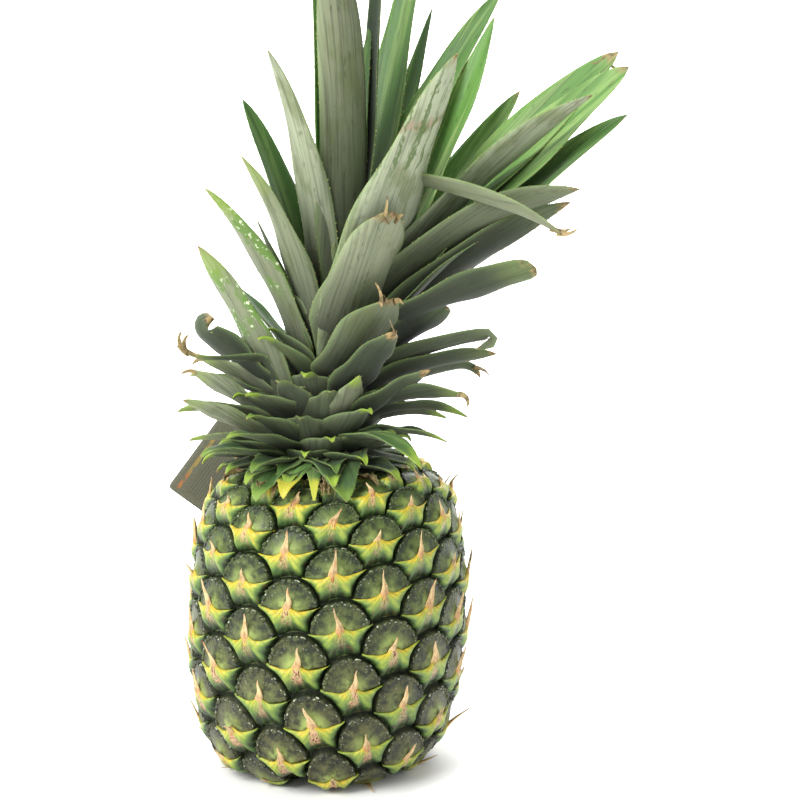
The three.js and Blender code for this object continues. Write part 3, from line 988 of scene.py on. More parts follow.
@dataclass
class Fruit:
    """The fruit body: a rind of eyes, the pleats of their rims, and the bracts."""

    form: FruitForm = field(default_factory=FruitForm)
    lattice: EyeLattice = field(default_factory=EyeLattice)
    per_side: int = 7
    reaches: tuple[float, ...] = (1.0, 0.985, 0.965, 0.94, 0.9, 0.84, 0.72, 0.56, 0.4, 0.25, 0.11)
    bulge: float = 0.07
    roundness: float = 0.62
    groove: float = 2.2
    dome: float = 1.9
    dome_radius: float = 15.0
    rim_lip: float = 0.5
    ring_dip: float = 0.5
    ring_radius: float = 6.5
    arm_left: float = 1.3
    arm_right: float = 0.5
    arm_sag: float = 1.7
    peak: float = 2.6
    peak_width: float = 2.9
    pleat_count: int = 13
    pleat_sides: int = 6
    pleat_reach: float = 0.9
    pleat_stand: float = 1.15
    pleat_tilt: float = 0.12
    pleat_spread: tuple[float, float] = (0.6, 1.35)
    pleat_width: float = 1.35
    pleat_length: float = 0.95
    pleat_height: float = 0.45
    pleat_clearance: float = 1.0
    bract_height: float = 2.9
    bract_edge: float = 2.0
    bract_arm: float = 1.3
    bract_thickness: float = 1.3
    bract_sags: tuple[float, float] = (1.3, 2.1)
    leg_places: tuple[float, ...] = (0.31, 0.69)
    leg_width: float = 0.07
    leg_heights: tuple[float, float] = (0.4, 0.7)
    cleft_width: float = 0.12
    cleft_depths: tuple[float, float] = (0.5, 0.9)
    rib_count: float = 6.5
    rib_height: float = 0.12
    bract_columns: int = 22
    bract_rows: int = 7
    spike_rows: int = 12
    spike_columns: int = 6
    spike_width: float = 5.6
    spike_spread: tuple[float, float] = (0.85, 1.12)
    needle_widths: tuple[float, float] = (0.8, 1.3)
    hair_width: float = 0.35
    spike_foot: float = 2.6
    spike_stand: float = 2.55
    pleat_kinds: int = 4
    table_count: int = 900
    seed: int = 7

    def shield(self) -> EyePart:
        """Make the skin of one eye as rings from its groove to its middle.

        Returns:
            The part that tiles the whole rind.
        """
        rim = self.lattice.outline(self.per_side, self.bulge)
        size = np.hypot(rim[:, 0] * self.form.radius, rim[:, 2])
        rows = []
        for reach in self.reaches:
            roundness = self.roundness * smooth(1.0, 0.95, reach)
            rows.append(rim * (reach * blend(1.0, size.mean() / size, roundness))[:, None])
        terms = np.concatenate([*rows, np.zeros((1, 4))])
        reach = np.concatenate([np.repeat(self.reaches, len(rim)), [0.0]])
        across = terms[:, 0] * self.form.radius
        above = terms[:, 2]
        lift = columns(0.0, self._shield_height(across, above, reach), smooth(1.0, 0.93, reach))
        middle = len(terms) - 1
        faces = row_faces(len(rows), len(rim)) + fan_faces(middle - len(rim), len(rim), middle)
        return EyePart(terms, lift, columns(across, above, reach), faces)

    def _shield_height(self, across: np.ndarray, above: np.ndarray, reach: np.ndarray) -> np.ndarray:
        """Give how far the skin of an eye stands out.

        Args:
            across: Distances to the right of the middle.
            above: Distances above it.
            reach: Share of the way out to the groove.

        Returns:
            Heights above the mean surface.
        """
        distance = np.hypot(across, above)
        upper = smooth(-3.0, 2.0, above)
        dome = self.dome * (1 - (distance / self.dome_radius) ** 2)
        lip = self.rim_lip * hill(reach, 0.91, 0.05) * upper
        dip = self.ring_dip * hill(distance, self.ring_radius, 2.5) * upper
        covered = smooth(-0.4, -2.6, above - self._top_line(across, self.arm_sag))
        height = blend(dome + lip - dip, -self.groove, smooth(0.935, 1.0, reach))
        return blend(height, -self.groove, covered)

    def _top_line(self, across: np.ndarray, sag: float) -> np.ndarray:
        """Give the height at which the flesh of a bract ends and the skin of the eye begins.

        Args:
            across: Distances to the right of the eye's middle.
            sag: How far the line sags on either side of the middle.

        Returns:
            Distances above the eye's middle.
        """
        rim = self.lattice.outline(1, 0.0)
        left, right = rim[2, 0] * self.form.radius, rim[5, 0] * self.form.radius
        p = np.clip((across - left) / (right - left), 0, 1)
        line = blend(rim[2, 2] + self.arm_left, rim[5, 2] + self.arm_right, p)
        return line - sag * np.sin(np.pi * p) ** 0.8 + self.peak * hill(across, 0, self.peak_width)

    def pleats(self, seed: int) -> EyePart:
        """Make the row of pleats round the upper rim of an eye.

        Args:
            seed: Number that sets their sizes.

        Returns:
            The part with all pleats of one eye.
        """
        rng = np.random.default_rng(seed)
        rim = self.lattice.outline(self.per_side, self.bulge)
        across, above = rim[:, 0] * self.form.radius, rim[:, 2]
        size = np.hypot(across, above)
        bearing = np.unwrap(np.arctan2(above, across))
        order = np.argsort(bearing % (2 * np.pi))
        parts = []
        for spot in np.linspace(0.02, 0.98, self.pleat_count):
            angle = np.pi * spot + rng.normal(0, 0.02)
            reach = np.interp(angle % (2 * np.pi), (bearing % (2 * np.pi))[order], size[order])
            centre = self.pleat_reach * blend(reach, size.mean(), self.roundness)
            flesh = self._top_line(np.array(centre * math.cos(angle)), self.arm_sag)
            if centre * math.sin(angle) > flesh + self.pleat_clearance:
                parts.append(self._pleat(angle, centre, rng))
        return joined_parts(parts)

    def _pleat(self, angle: float, distance: float, rng: np.random.Generator) -> EyePart:
        """Make one pleat as a low flattened bead.

        Args:
            angle: Bearing of the pleat from the middle of the eye.
            distance: Distance from the middle.
            rng: Source of its small differences.

        Returns:
            The pleat.
        """
        belts = np.radians([-90, -35, 10, 50, 90])
        around = np.radians(np.arange(0, 360, 360 // self.pleat_sides))
        sizes = np.array([self.pleat_width, self.pleat_length, self.pleat_height])
        wide, long, high = sizes * rng.uniform(*self.pleat_spread, 3)
        spots = []
        for belt in belts:
            ring = around if abs(belt) < math.pi / 2 else around[:1]
            for bearing in ring:
                side = wide * math.cos(belt) * math.cos(bearing)
                forth = long * math.cos(belt) * math.sin(bearing)
                spots.append((side, forth, high * math.sin(belt) - self.pleat_tilt * forth))
        side, forth, out = np.array(spots).T
        across = (distance + forth) * math.cos(angle) - side * math.sin(angle)
        above = (distance + forth) * math.sin(angle) + side * math.cos(angle)
        out = self.pleat_stand + out + rng.normal(0, 0.08)
        sides, top = self.pleat_sides, len(spots) - 1
        faces = [face[::-1] for face in fan_faces(1, sides, 0)]
        faces += shifted(row_faces(3, sides), 1) + fan_faces(top - sides, sides, top)
        # The reach sets where the skin's painted highlight row falls: on the outer slope of each pleat
        reach = 0.835 + 0.06 * forth / self.pleat_length
        terms = self.lattice.laid(across, above, self.form.radius)
        return EyePart(terms, columns(0.0, out, 1.0), columns(across, above, reach), faces)

    def bract(self, look: Look, seed: int) -> EyePart:
        """Make one bract, its fleshy star and its dried tip, with small differences set by the seed."""
        rng = np.random.default_rng(seed)
        return joined_parts([self._star(rng), self._spike(look, rng)])

    def _star(self, rng: np.random.Generator) -> EyePart:
        """Make the fleshy body of a bract, from its two arms down to the groove.

        Args:
            rng: Source of its small differences.

        Returns:
            The closed body.
        """
        third = self.bract_columns // 2
        rim = self.lattice.outline(third, self.bulge)
        lower = rim[2 * third : 5 * third + 1]
        p = np.linspace(0, 1, self.bract_columns + 1)
        picks = np.linspace(0, len(lower) - 1, self.bract_columns + 1)
        edge_across, edge_above = (np.interp(picks, np.arange(len(lower)), lower[:, k]) for k in (0, 2))
        edge_across *= self.form.radius
        across_top = blend(edge_across[0], edge_across[-1], p)
        above_top = self._top_line(across_top, rng.uniform(*self.bract_sags))
        above_top = above_top + rng.normal(0, 0.4) * (2 * p - 1)
        q = np.linspace(0, 1, self.bract_rows + 1)[:, None]
        across = blend(across_top, edge_across, q**1.15)
        above = blend(above_top, edge_above, q)
        crest = blend(self.bract_arm, self.bract_height, 1 - np.abs(2 * p - 1) ** 1.9)
        out = blend(crest - 0.4 * hill(q, 0, 0.08), -self.bract_edge, q**2.2)
        legs = sum(hill(p, place, self.leg_width) for place in self.leg_places)
        out += rng.uniform(*self.leg_heights) * legs * np.sin(np.pi * q**0.8)
        out -= rng.uniform(*self.cleft_depths) * hill(p, 0.5, self.cleft_width) * smooth(0.2, 0.7, q)
        out += self.rib_height * np.cos(2 * np.pi * self.rib_count * (p - 0.5)) * np.sin(np.pi * q)
        return self._shell(across, above, out, out - self.bract_thickness, -q)

    def _spike(self, look: Look, rng: np.random.Generator) -> EyePart:
        """Make the dried tip of a bract.

        Args:
            look: How the tip stands.
            rng: Source of its small differences.

        Returns:
            The closed tip.
        """
        length, sideways, stand, hook = look.value
        length *= rng.uniform(*self.spike_spread)
        sideways += rng.normal(0, 0.7)
        t = np.linspace(1, 0, self.spike_rows + 1)[:, None] ** 1.2
        x = np.linspace(-1, 1, self.spike_columns + 1)
        flare = rng.uniform(0.8, 1.15) * self.spike_width / 2
        needle = self.hair_width if look is Look.HAIR else rng.uniform(*self.needle_widths)
        half = (flare - needle) * (1 - t) ** 2.1 + needle * (1 - t) ** 0.7 + 0.12
        middle = sideways * t**1.6 + 2 * (1 - t) * t * np.sin(5 * t + rng.uniform(0, 6))
        ragged = rng.normal(0, 0.24, len(x)) * np.minimum(1, 3 * (1 - t))
        waist = 1 + 0.16 * np.sin(11 * t + 2 * np.sign(x) + ragged[0, 0] * 20)
        across = middle + half * x * waist + 0.3 * ragged
        above = -self.spike_foot + (length + self.spike_foot) * t + hook * t**4 + 0.2 * x * t
        out = self.spike_stand + stand * t**1.5 - 0.3 * half * x**2 + ragged
        return self._shell(across, above, out, out - (0.2 + 0.9 * (1 - t) ** 2), t, straight_from=2.0)

    def _shell(
        self,
        across: np.ndarray,
        above: np.ndarray,
        front: np.ndarray,
        back: np.ndarray,
        spike: np.ndarray,
        straight_from: float = math.inf,
    ) -> EyePart:
        """Close a grid on the fruit into a shell.

        Args:
            across: Distances to the right of the eye's middle.
            above: Distances above it.
            front: Heights of the outside.
            back: Heights of the inside.
            spike: Share of the way up the dried tip, or less than zero down the flesh.
            straight_from: Distance above from which the grid leaves the curve of the fruit.

        Returns:
            The closed part.
        """
        laid = np.minimum(above, straight_from)
        grids = [columns(across, laid, above - laid, out, above, spike) for out in (front, back)]
        points, faces = closed_shell(*grids)
        across, laid, up, out, above, spike = points.T
        terms = self.lattice.laid(across, laid, self.form.radius)
        return EyePart(terms, columns(up, out, 1.0), columns(across, above, spike), faces)

    def _profile(self) -> Object:
        """Make the profile as an even row of points for the eye tree.

        Returns:
            The helper object.
        """
        along, radius, height = self.form.samples().T
        even = np.linspace(along[0], along[-1], self.table_count)
        points = columns(np.interp(even, along, radius), 0.0, np.interp(even, along, height))
        return mesh_object("profile_helper", points, [])

    def lay(
        self, name: str, parts: list[EyePart], material: Material, weld: bool = False
    ) -> Object:
        """Lay kinds of one part on every eye and make them one plain mesh.

        Args:
            name: Name of the piece.
            parts: The kinds, of which each eye gets one by chance.
            material: Finish of the piece.
            weld: Whether neighbouring parts share their edges.

        Returns:
            The piece.
        """
        kinds = bpy.data.collections.new(name + "_kinds")
        made = [part.make(f"{name}_kind_{i}", kinds) for i, part in enumerate(parts)]
        profile = self._profile()
        along = self.form.samples()[:, 0]
        lattice = self.lattice
        values = {
            "Eyes": lattice.last - lattice.first + 1,
            "First eye": float(lattice.first),
            "Start": (lattice.first_turn, lattice.first_rise, 0.0),
            "Rate": (lattice.turn, lattice.rise, 0.0),
            "Bend": (lattice.turn_drift, -lattice.rise_sag, 0.0),
            "Kinds": kinds,
            "Kind count": len(parts),
            "Profile": profile,
            "Profile start": along[0],
            "Profile step": (along[-1] - along[0]) / (self.table_count - 1),
            "Radius": self.form.radius,
            "Lean": self.form.lean,
            "Weld": weld,
            "Seed": self.seed,
            "Material": material,
        }
        source = mesh_object(name + "_source", np.zeros((1, 3)), [])
        piece = grown_mesh(source, EyeTree(name + "_tree", self.form.radius).build(), values, name)
        for helper in (*made, profile):
            bpy.data.objects.remove(helper)
        bpy.data.collections.remove(kinds)
        return piece

    def close_ends(self, rind: Object) -> None:
        """Close the open foot and top of the rind with a fan each.

        Args:
            rind: The welded rind.
        """
        work = bmesh.new()
        work.from_mesh(rind.data)
        open_edges = [edge for edge in work.edges if edge.is_boundary]
        half = self.form.height / 2 * MM
        for is_top in (False, True):
            ring = [e for e in open_edges if (e.verts[0].co.z > half) == is_top]
            if not ring:
                continue
            corners = {v for e in ring for v in e.verts}
            middle = work.verts.new(sum((v.co for v in corners), Vector()) / len(corners))
            for edge in ring:
                loop = edge.link_loops[0]
                work.faces.new((loop.link_loop_next.vert, loop.vert, middle)).smooth = True
        work.to_mesh(rind.data)
        work.free()

    def build(self) -> list[Object]:
        """Build the rind, the pleats and the bracts.

        Returns:
            The pieces of the fruit.
        """
        skin = ShieldSkin().build()
        rind = self.lay("rind", [self.shield()], skin, weld=True)
        self.close_ends(rind)
        rows = [self.pleats(self.seed + i) for i in range(self.pleat_kinds)]
        looks = [*Look, Look.UPRIGHT, Look.RIGHT, Look.UPRIGHT, Look.LEFT, Look.STUB, Look.UPRIGHT]
        kinds = [self.bract(look, self.seed + i) for i, look in enumerate(looks)]
        return [rind, self.lay("rim_pleats", rows, skin), self.lay("bracts", kinds, BractSkin().build())]


@dataclass
class EyeTree:
    """Geometry Nodes that repeat a part on every eye of the spiral and lay it on the fruit."""

    name: str
    radius_mm: float
    uneven_mm: float = 0.5
    uneven_size_mm: float = 14.0

    def build(self) -> NodeTree:
        """Make the tree.

        Returns:
            The node tree.
        """
        inputs = {
            "Geometry": ("Geometry",),
            "Int": ("Eyes", "Kind count", "Seed"),
            "Float": ("First eye", "Profile start", "Profile step", "Radius", "Lean"),
            "Vector": ("Start", "Rate", "Bend"),
            "Collection": ("Kinds",),
            "Object": ("Profile",),
            "Bool": ("Weld",),
            "Material": ("Material",),
        }
        tree, put, given = new_tree(self.name, inputs)
        laid = self._repeated(put, given)
        number = put("read_number", "eye_number")
        at_eye = put("V_MULTIPLY_ADD", given["Bend"], number, given["Rate"])
        at_eye = put("V_MULTIPLY_ADD", at_eye, number, given["Start"])
        within = put("V_MULTIPLY_ADD", put("read_vector", "lay_rate"), number, put("read_vector", "lay"))
        turn, rise, _ = put("split", put("V_ADD", at_eye, within))
        moved = put("move", laid, self._on_fruit(put, given, turn, rise))
        plain = put("realize", put("weld", moved, given["Weld"], 0.02 * MM))
        put("result", put("dress", plain, given["Material"]))
        return tree

    def _repeated(self, put: Callable, given: Any) -> Any:
        """Put one kind of the part on a point for each eye, with the eye's number and its chance.

        Args:
            put: Function that adds a node.
            given: Sockets of the tree's inputs.

        Returns:
            The socket of the parts.
        """
        index = put("index")
        points = put("points", given["Eyes"])
        points = put("store", points, "eye_number", put("ADD", index, given["First eye"]))
        points = put("store", points, "eye_chance", put("chance", index, given["Seed"]))
        highest = put("SUBTRACT", given["Kind count"], 1.0)
        pick = put("chance_whole", 0, highest, index, given["Seed"])
        parts = put("collection", given["Kinds"])
        return put("realize", put("instances", points, parts, pick, Pick_Instance=True))

    def _on_fruit(self, put: Callable, given: Any, turn: Any, rise: Any) -> Any:
        """Give the place in space, in metres, of a turn, a rise and the lift that is stored.

        Args:
            put: Function that adds a node.
            given: Sockets of the tree's inputs.
            turn: Socket of the turn.
            rise: Socket of the rise.

        Returns:
            The socket of the place.
        """
        spot = put("DIVIDE", put("SUBTRACT", rise, given["Profile start"]), given["Profile step"])
        low = put("FLOOR", spot)
        first, second = (
            put("sample", put("object", given["Profile"]), put("position"), index)
            for index in (low, put("ADD", low, 1.0))
        )
        way = put("V_SUBTRACT", second, first)
        base_x, _, base_z = put("split", put("V_MULTIPLY_ADD", way, put("FRACT", spot), first))
        forth_x, _, forth_z = put("split", put("V_NORMALIZE", way))
        up, out, free = put("split", put("read_vector", "lift"))
        full = put("MULTIPLY_ADD", put("LESS_THAN", rise, 0.0), 0.08, 0.72)
        share = put("rise", put("DIVIDE", base_x, given["Radius"]), 0.36, full)
        chance = put("MULTIPLY_ADD", put("read_number", "eye_chance"), 0.5, -0.25)
        out = put("MULTIPLY", out, put("MULTIPLY_ADD", chance, free, 1.0), share)
        around = put("join", put("SINE", turn), put("COSINE", turn), put("DIVIDE", rise, given["Radius"]))
        uneven = put("noise", around, self.radius_mm / self.uneven_size_mm, Roughness=0.5)
        out = put("ADD", out, put("MULTIPLY_ADD", uneven, 2 * self.uneven_mm, -self.uneven_mm))
        young = put("rise", put("read_number", "eye_number"), 16.0, 46.0, 1.0, 0.28)
        up = put("MULTIPLY", up, share, young)
        r = put("MULTIPLY_ADD", forth_x, up, put("MULTIPLY_ADD", forth_z, out, base_x))
        z = put("SUBTRACT", base_z, put("MULTIPLY", forth_x, out))
        z = put("MAXIMUM", put("MULTIPLY_ADD", forth_z, up, z), 0.0)
        x = put("MULTIPLY_ADD", put("SINE", turn), r, put("MULTIPLY", given["Lean"], z))
        y = put("MULTIPLY", put("COSINE", turn), r, -1.0)
        return put("V_MULTIPLY", put("join", x, y, z), (MM, MM, MM))


# Crown


@dataclass(frozen=True)
class Leaf:
    """One leaf by how it grows and how it looks.

    Azimuth 0 faces the front and 90 the right; lean is the angle from upright.
    """

    azimuth: float
    height: float
    lean: float
    tip_lean: float
    length: float
    width: float
    roll: float = 0.0
    fresh: float = 0.5
    bloom: float = 0.7
    dry: float = 0.0
    blunt: float = 0.0
    curl: float = 0.0
    lime: float = 0.0
    scar: float = 0.0
    rubbed: float = 0.0
    beak: float = 0.0
    foot: float = 6.0
    clearance: float = 6.0
    # Painted shade: how far the leaf's colour is darkened towards its foot colour
    shade: float = 0.0
    fold: float = 0.0
    fold_at: float = 0.5
    frayed: int = 0


def blade(grows: tuple[float, ...], **looks: float) -> Leaf:
    """Make a leaf from its azimuth, height, lean, tip lean, length, width and roll, and its looks."""
    return Leaf(*grows, **looks)


# Large leaves, from the tall ones inside the crown down to those that spread over the shoulder

BLADES = [
    blade((40, 55, 6, -17, 188, 28), fresh=0.6, bloom=1.0, blunt=0.2),
    blade((-130, 58, 1, 4, 172, 9), fresh=0.8, bloom=0.2),
    blade((120, 60, 8, 2, 166, 21), fresh=0.2, bloom=0.35, shade=0.85),
    blade((140, 56, 16, 19, 190, 25), fresh=0.68, bloom=0.2),
    blade((140, 54, 24, 22, 150, 17), fresh=0.4, bloom=0.2),
    blade((41, 43, 27, 32, 150, 40), fresh=0.9, bloom=1.45, scar=1.0),
    blade((115, 57, 18, 40, 162, 26, 40), fresh=0.6, bloom=0.3),
    # Fresh above one paints this leaf paler than its own green: painted light where the leaves in front
    # shade it
    blade((105, 51, 30, 18, 152, 27, 38), fresh=1.9, bloom=0.3),
    blade((110, 49, 35, 38, 134, 29, 40), fresh=1.0, bloom=0.3, shade=0.1),
    blade((96, 49, 39, 48, 170, 30, 45), fresh=0.9, bloom=0.6, dry=0.02, blunt=0.45, frayed=1),
    blade((90, 47, 41, 49, 169, 34, 45), fresh=0.9, bloom=0.6, dry=0.01, blunt=0.4),
    blade((80, 50, 34, 58, 149, 35, -35), fresh=0.7, bloom=1.3),
    blade((86, 43, 44, 54, 158, 40, 40), fresh=0.6, bloom=0.45),
    blade(
        (60, 60, 25, 35, 140, 21, -35),
        fresh=0.7, bloom=0.95, dry=0.03, blunt=0.35, fold=72, fold_at=0.48, curl=12, frayed=2,
    ),
    blade((70, 51, 39, 80, 125, 32, -50), bloom=0.8, dry=0.02, shade=0.35),
    blade((74, 39, 43, 66, 124, 26, -60), fresh=0.4, bloom=0.4, dry=0.02, shade=0.85),
    blade((98, 40, 48, 60, 88, 20, -45), bloom=0.4, dry=0.02, shade=0.7),
    blade((74, 31, 46, 56, 60, 25, -35), fresh=0.3, bloom=0.2, blunt=1.0, shade=1.0, foot=8),
    blade((60, 52, 64, 72, 97, 18, -50), bloom=0.35, dry=0.02, blunt=1.3, shade=0.85, lime=0.1),
    blade((30, 46, 34, 36, 80, 34), bloom=1.1, dry=0.04, blunt=0.45, frayed=3),
    blade((35, 31, 42, 46, 62, 31), dry=0.04, blunt=0.45, shade=0.4, frayed=4),
    blade((-36, 51, 3, 35, 131, 20), bloom=1.3),
    blade((-100, 45, 9, 26, 114, 27, -35), bloom=0.5),
    blade((-78, 32, 14, 22, 76, 21), fresh=0.2, bloom=0.2, shade=0.5),
    blade((-45, 39, 12, 41, 104, 19), bloom=0.85, lime=0.4),
    blade((-65, 28, 14, 46, 104, 18, 35), fresh=0.6, bloom=1.0, rubbed=1.5, lime=0.5),
    blade((-68, 12, 22, 34, 94, 23, 45), fresh=0.7, bloom=0.9, rubbed=1.5, lime=0.4, dry=0.03, foot=10),
    blade(
        (-88, 20, 45, 56, 66, 24, 50),
        fresh=0.2, bloom=0.15, dry=0.05, blunt=0.5, shade=0.8, curl=-160, foot=9,
    ),
    blade(
        (-70, 12, 24, 34, 74, 15, 20),
        fresh=0.4, bloom=0.3, dry=0.12, lime=0.4, shade=0.7, fold=56, curl=-45, foot=9, frayed=4,
    ),
    blade((-95, 22, 58, 66, 49, 22, 55), bloom=1.2, dry=0.03, lime=0.4, shade=0.2, foot=10, frayed=1),
    blade((-88, 12, 54, 60, 52, 22, 55), bloom=1.2, dry=0.05, lime=0.3, shade=0.12, foot=11, frayed=1),
    blade((-104, 22, 62, 90, 50, 16, 30), fresh=0.7, bloom=0.9, lime=0.4, shade=0.12, foot=12),
    blade((-64, 6, 58, 66, 55, 18, 50), bloom=1.15, lime=0.3, shade=0.15, foot=12),
    blade((-76, 15, 62, 100, 49, 17, 40), bloom=1.0, lime=0.5, shade=0.15, foot=14),
    blade((-84, 6, 70, 100, 40, 16, 30), fresh=0.7, bloom=0.8, lime=0.7, shade=0.15, foot=15),
    blade((34, 27, 47, 53, 57, 22, -20), bloom=0.3, dry=0.09, shade=0.85, foot=12, frayed=1),
    blade((54, 17, 55, 59, 53, 20, -20), bloom=0.3, dry=0.1, shade=0.8, foot=13),
    blade((76, 32, 60, 84, 80, 19, -50), bloom=0.6, dry=0.02, fold=160, fold_at=0.88, shade=0.65),
    blade((82, 28, 62, 86, 68, 21, -50), bloom=0.35, dry=0.03, shade=0.78, foot=9),
    blade((100, 24, 64, 88, 63, 19, -45), bloom=0.35, dry=0.04, curl=60, shade=0.72, foot=10, frayed=1),
    blade((60, 22, 66, 94, 61, 20, -45), bloom=0.35, dry=0.04, lime=0.2, shade=0.8, foot=11, frayed=1),
    blade((78, 18, 66, 112, 53, 18, -35), bloom=0.4, lime=0.5, shade=0.72, foot=12),
    blade((92, 16, 68, 110, 42, 16, -30), bloom=0.4, lime=0.6, shade=0.68, foot=13),
    blade((64, 12, 72, 108, 48, 18, -20), bloom=0.4, lime=0.6, shade=0.68, foot=13),
    blade((40, 12, 70, 128, 57, 14), fresh=0.75, bloom=0.3, lime=1.0, shade=0.25, foot=13),
]

# Short leaves in front of the neck, most of them with a hooked green beak

SCALES = [
    blade((-52, 34, 38, 56, 37, 17), foot=8, curl=50, beak=0.6, bloom=0.2, lime=0.9, shade=0.3),
    blade((-15, 25, 26, 40, 24, 26), foot=13.5, curl=100, beak=1.0, bloom=0.6, lime=0.9, shade=0.6),
    blade((30, 16, 32, 38, 33, 22), foot=16, blunt=-0.15, bloom=1.0, lime=0.7, shade=0.15),
    blade((37, 11, 44, 56, 30, 23), foot=15.5, curl=70, beak=1.0, bloom=0.6, lime=1.0, shade=0.5),
    blade((-50, 20, 54, 64, 30, 21), foot=14, curl=40, beak=0.8, bloom=0.6, lime=1.0, shade=0.5),
    blade((-39, 10, 52, 64, 34, 20), foot=15.7, curl=50, beak=0.9, bloom=0.5, lime=0.5, shade=0.5),
    blade((-11, 9, 34, 48, 24, 23), foot=15.8, curl=60, beak=0.8, bloom=0.5, lime=0.1, shade=0.6),
    blade((15, 4, 40, 52, 20, 22), foot=16.5, curl=95, beak=1.0, bloom=0.6, lime=1.0, shade=0.5),
    blade((-5, 1, 50, 62, 20, 19), foot=17, curl=95, beak=1.0, bloom=0.5, lime=1.0, shade=0.5),
    blade((33, 1, 62, 84, 27, 20), foot=17, curl=80, beak=0.9, bloom=0.3, lime=1.0, shade=0.5),
    blade((10, 16, 30, 42, 27, 23), foot=15, curl=40, beak=0.7, bloom=0.5, lime=0.1, shade=0.6),
    blade((-30, 19, 34, 44, 30, 21), foot=14.5, curl=50, beak=0.6, bloom=0.6, lime=0.2, shade=0.75),
    blade((50, 6, 56, 76, 32, 19), foot=16, curl=50, beak=0.8, bloom=0.4, lime=0.3, shade=0.6),
    blade((-36, 8, 66, 80, 46, 15), foot=16, curl=30, beak=0.4, bloom=0.4, lime=0.7, shade=0.5),
    blade((-52, 3, 68, 92, 44, 17), foot=16.5, curl=40, beak=0.3, bloom=0.2, lime=0.5, shade=0.3),
    blade((-28, 2, 70, 96, 36, 17), foot=17, curl=40, beak=0.4, bloom=0.2, lime=0.3, shade=0.4),
    blade((14, 1, 68, 92, 28, 18), foot=17, curl=50, beak=0.6, bloom=0.2, lime=0.2, shade=0.5),
]

# Lowest leaves in front, which lie flat on the fruit

low_scale = partial(blade, foot=17, bloom=0.1)

LOWEST_SCALES = [
    low_scale((-26, 0, 84, 116, 36, 25), curl=40, blunt=-0.15, fresh=0.7, lime=0.5, shade=0.35),
    low_scale((-12, 0, 82, 106, 37, 18), curl=60, blunt=-0.1, fresh=0.9, lime=1.22, shade=0.1),
    low_scale((2, 0, 84, 116, 34, 17), curl=50, blunt=-0.3, fresh=0.7, lime=1.15, shade=0.3),
    low_scale((17, 0, 84, 114, 36, 30), curl=40, blunt=-0.15, lime=0.4, shade=0.45),
    low_scale((-20, 0, 88, 116, 31, 9), curl=40, dry=0.6, clearance=4, fresh=0.4),
    low_scale((9, 0, 88, 116, 31, 10), curl=40, dry=0.6, clearance=4, fresh=0.4),
]

# Rings of leaves all round the foot of the crown: how many, and the first of them

ring_leaf = partial(blade, beak=0.35, shade=0.78)

NECK_RINGS = [
    (13, ring_leaf((-11, 1, 78, 104, 33, 15), foot=16, curl=50, clearance=3.5)),
    (11, ring_leaf((5, 0, 84, 106, 30, 12), foot=17, curl=60, clearance=2.0, dry=0.35)),
]


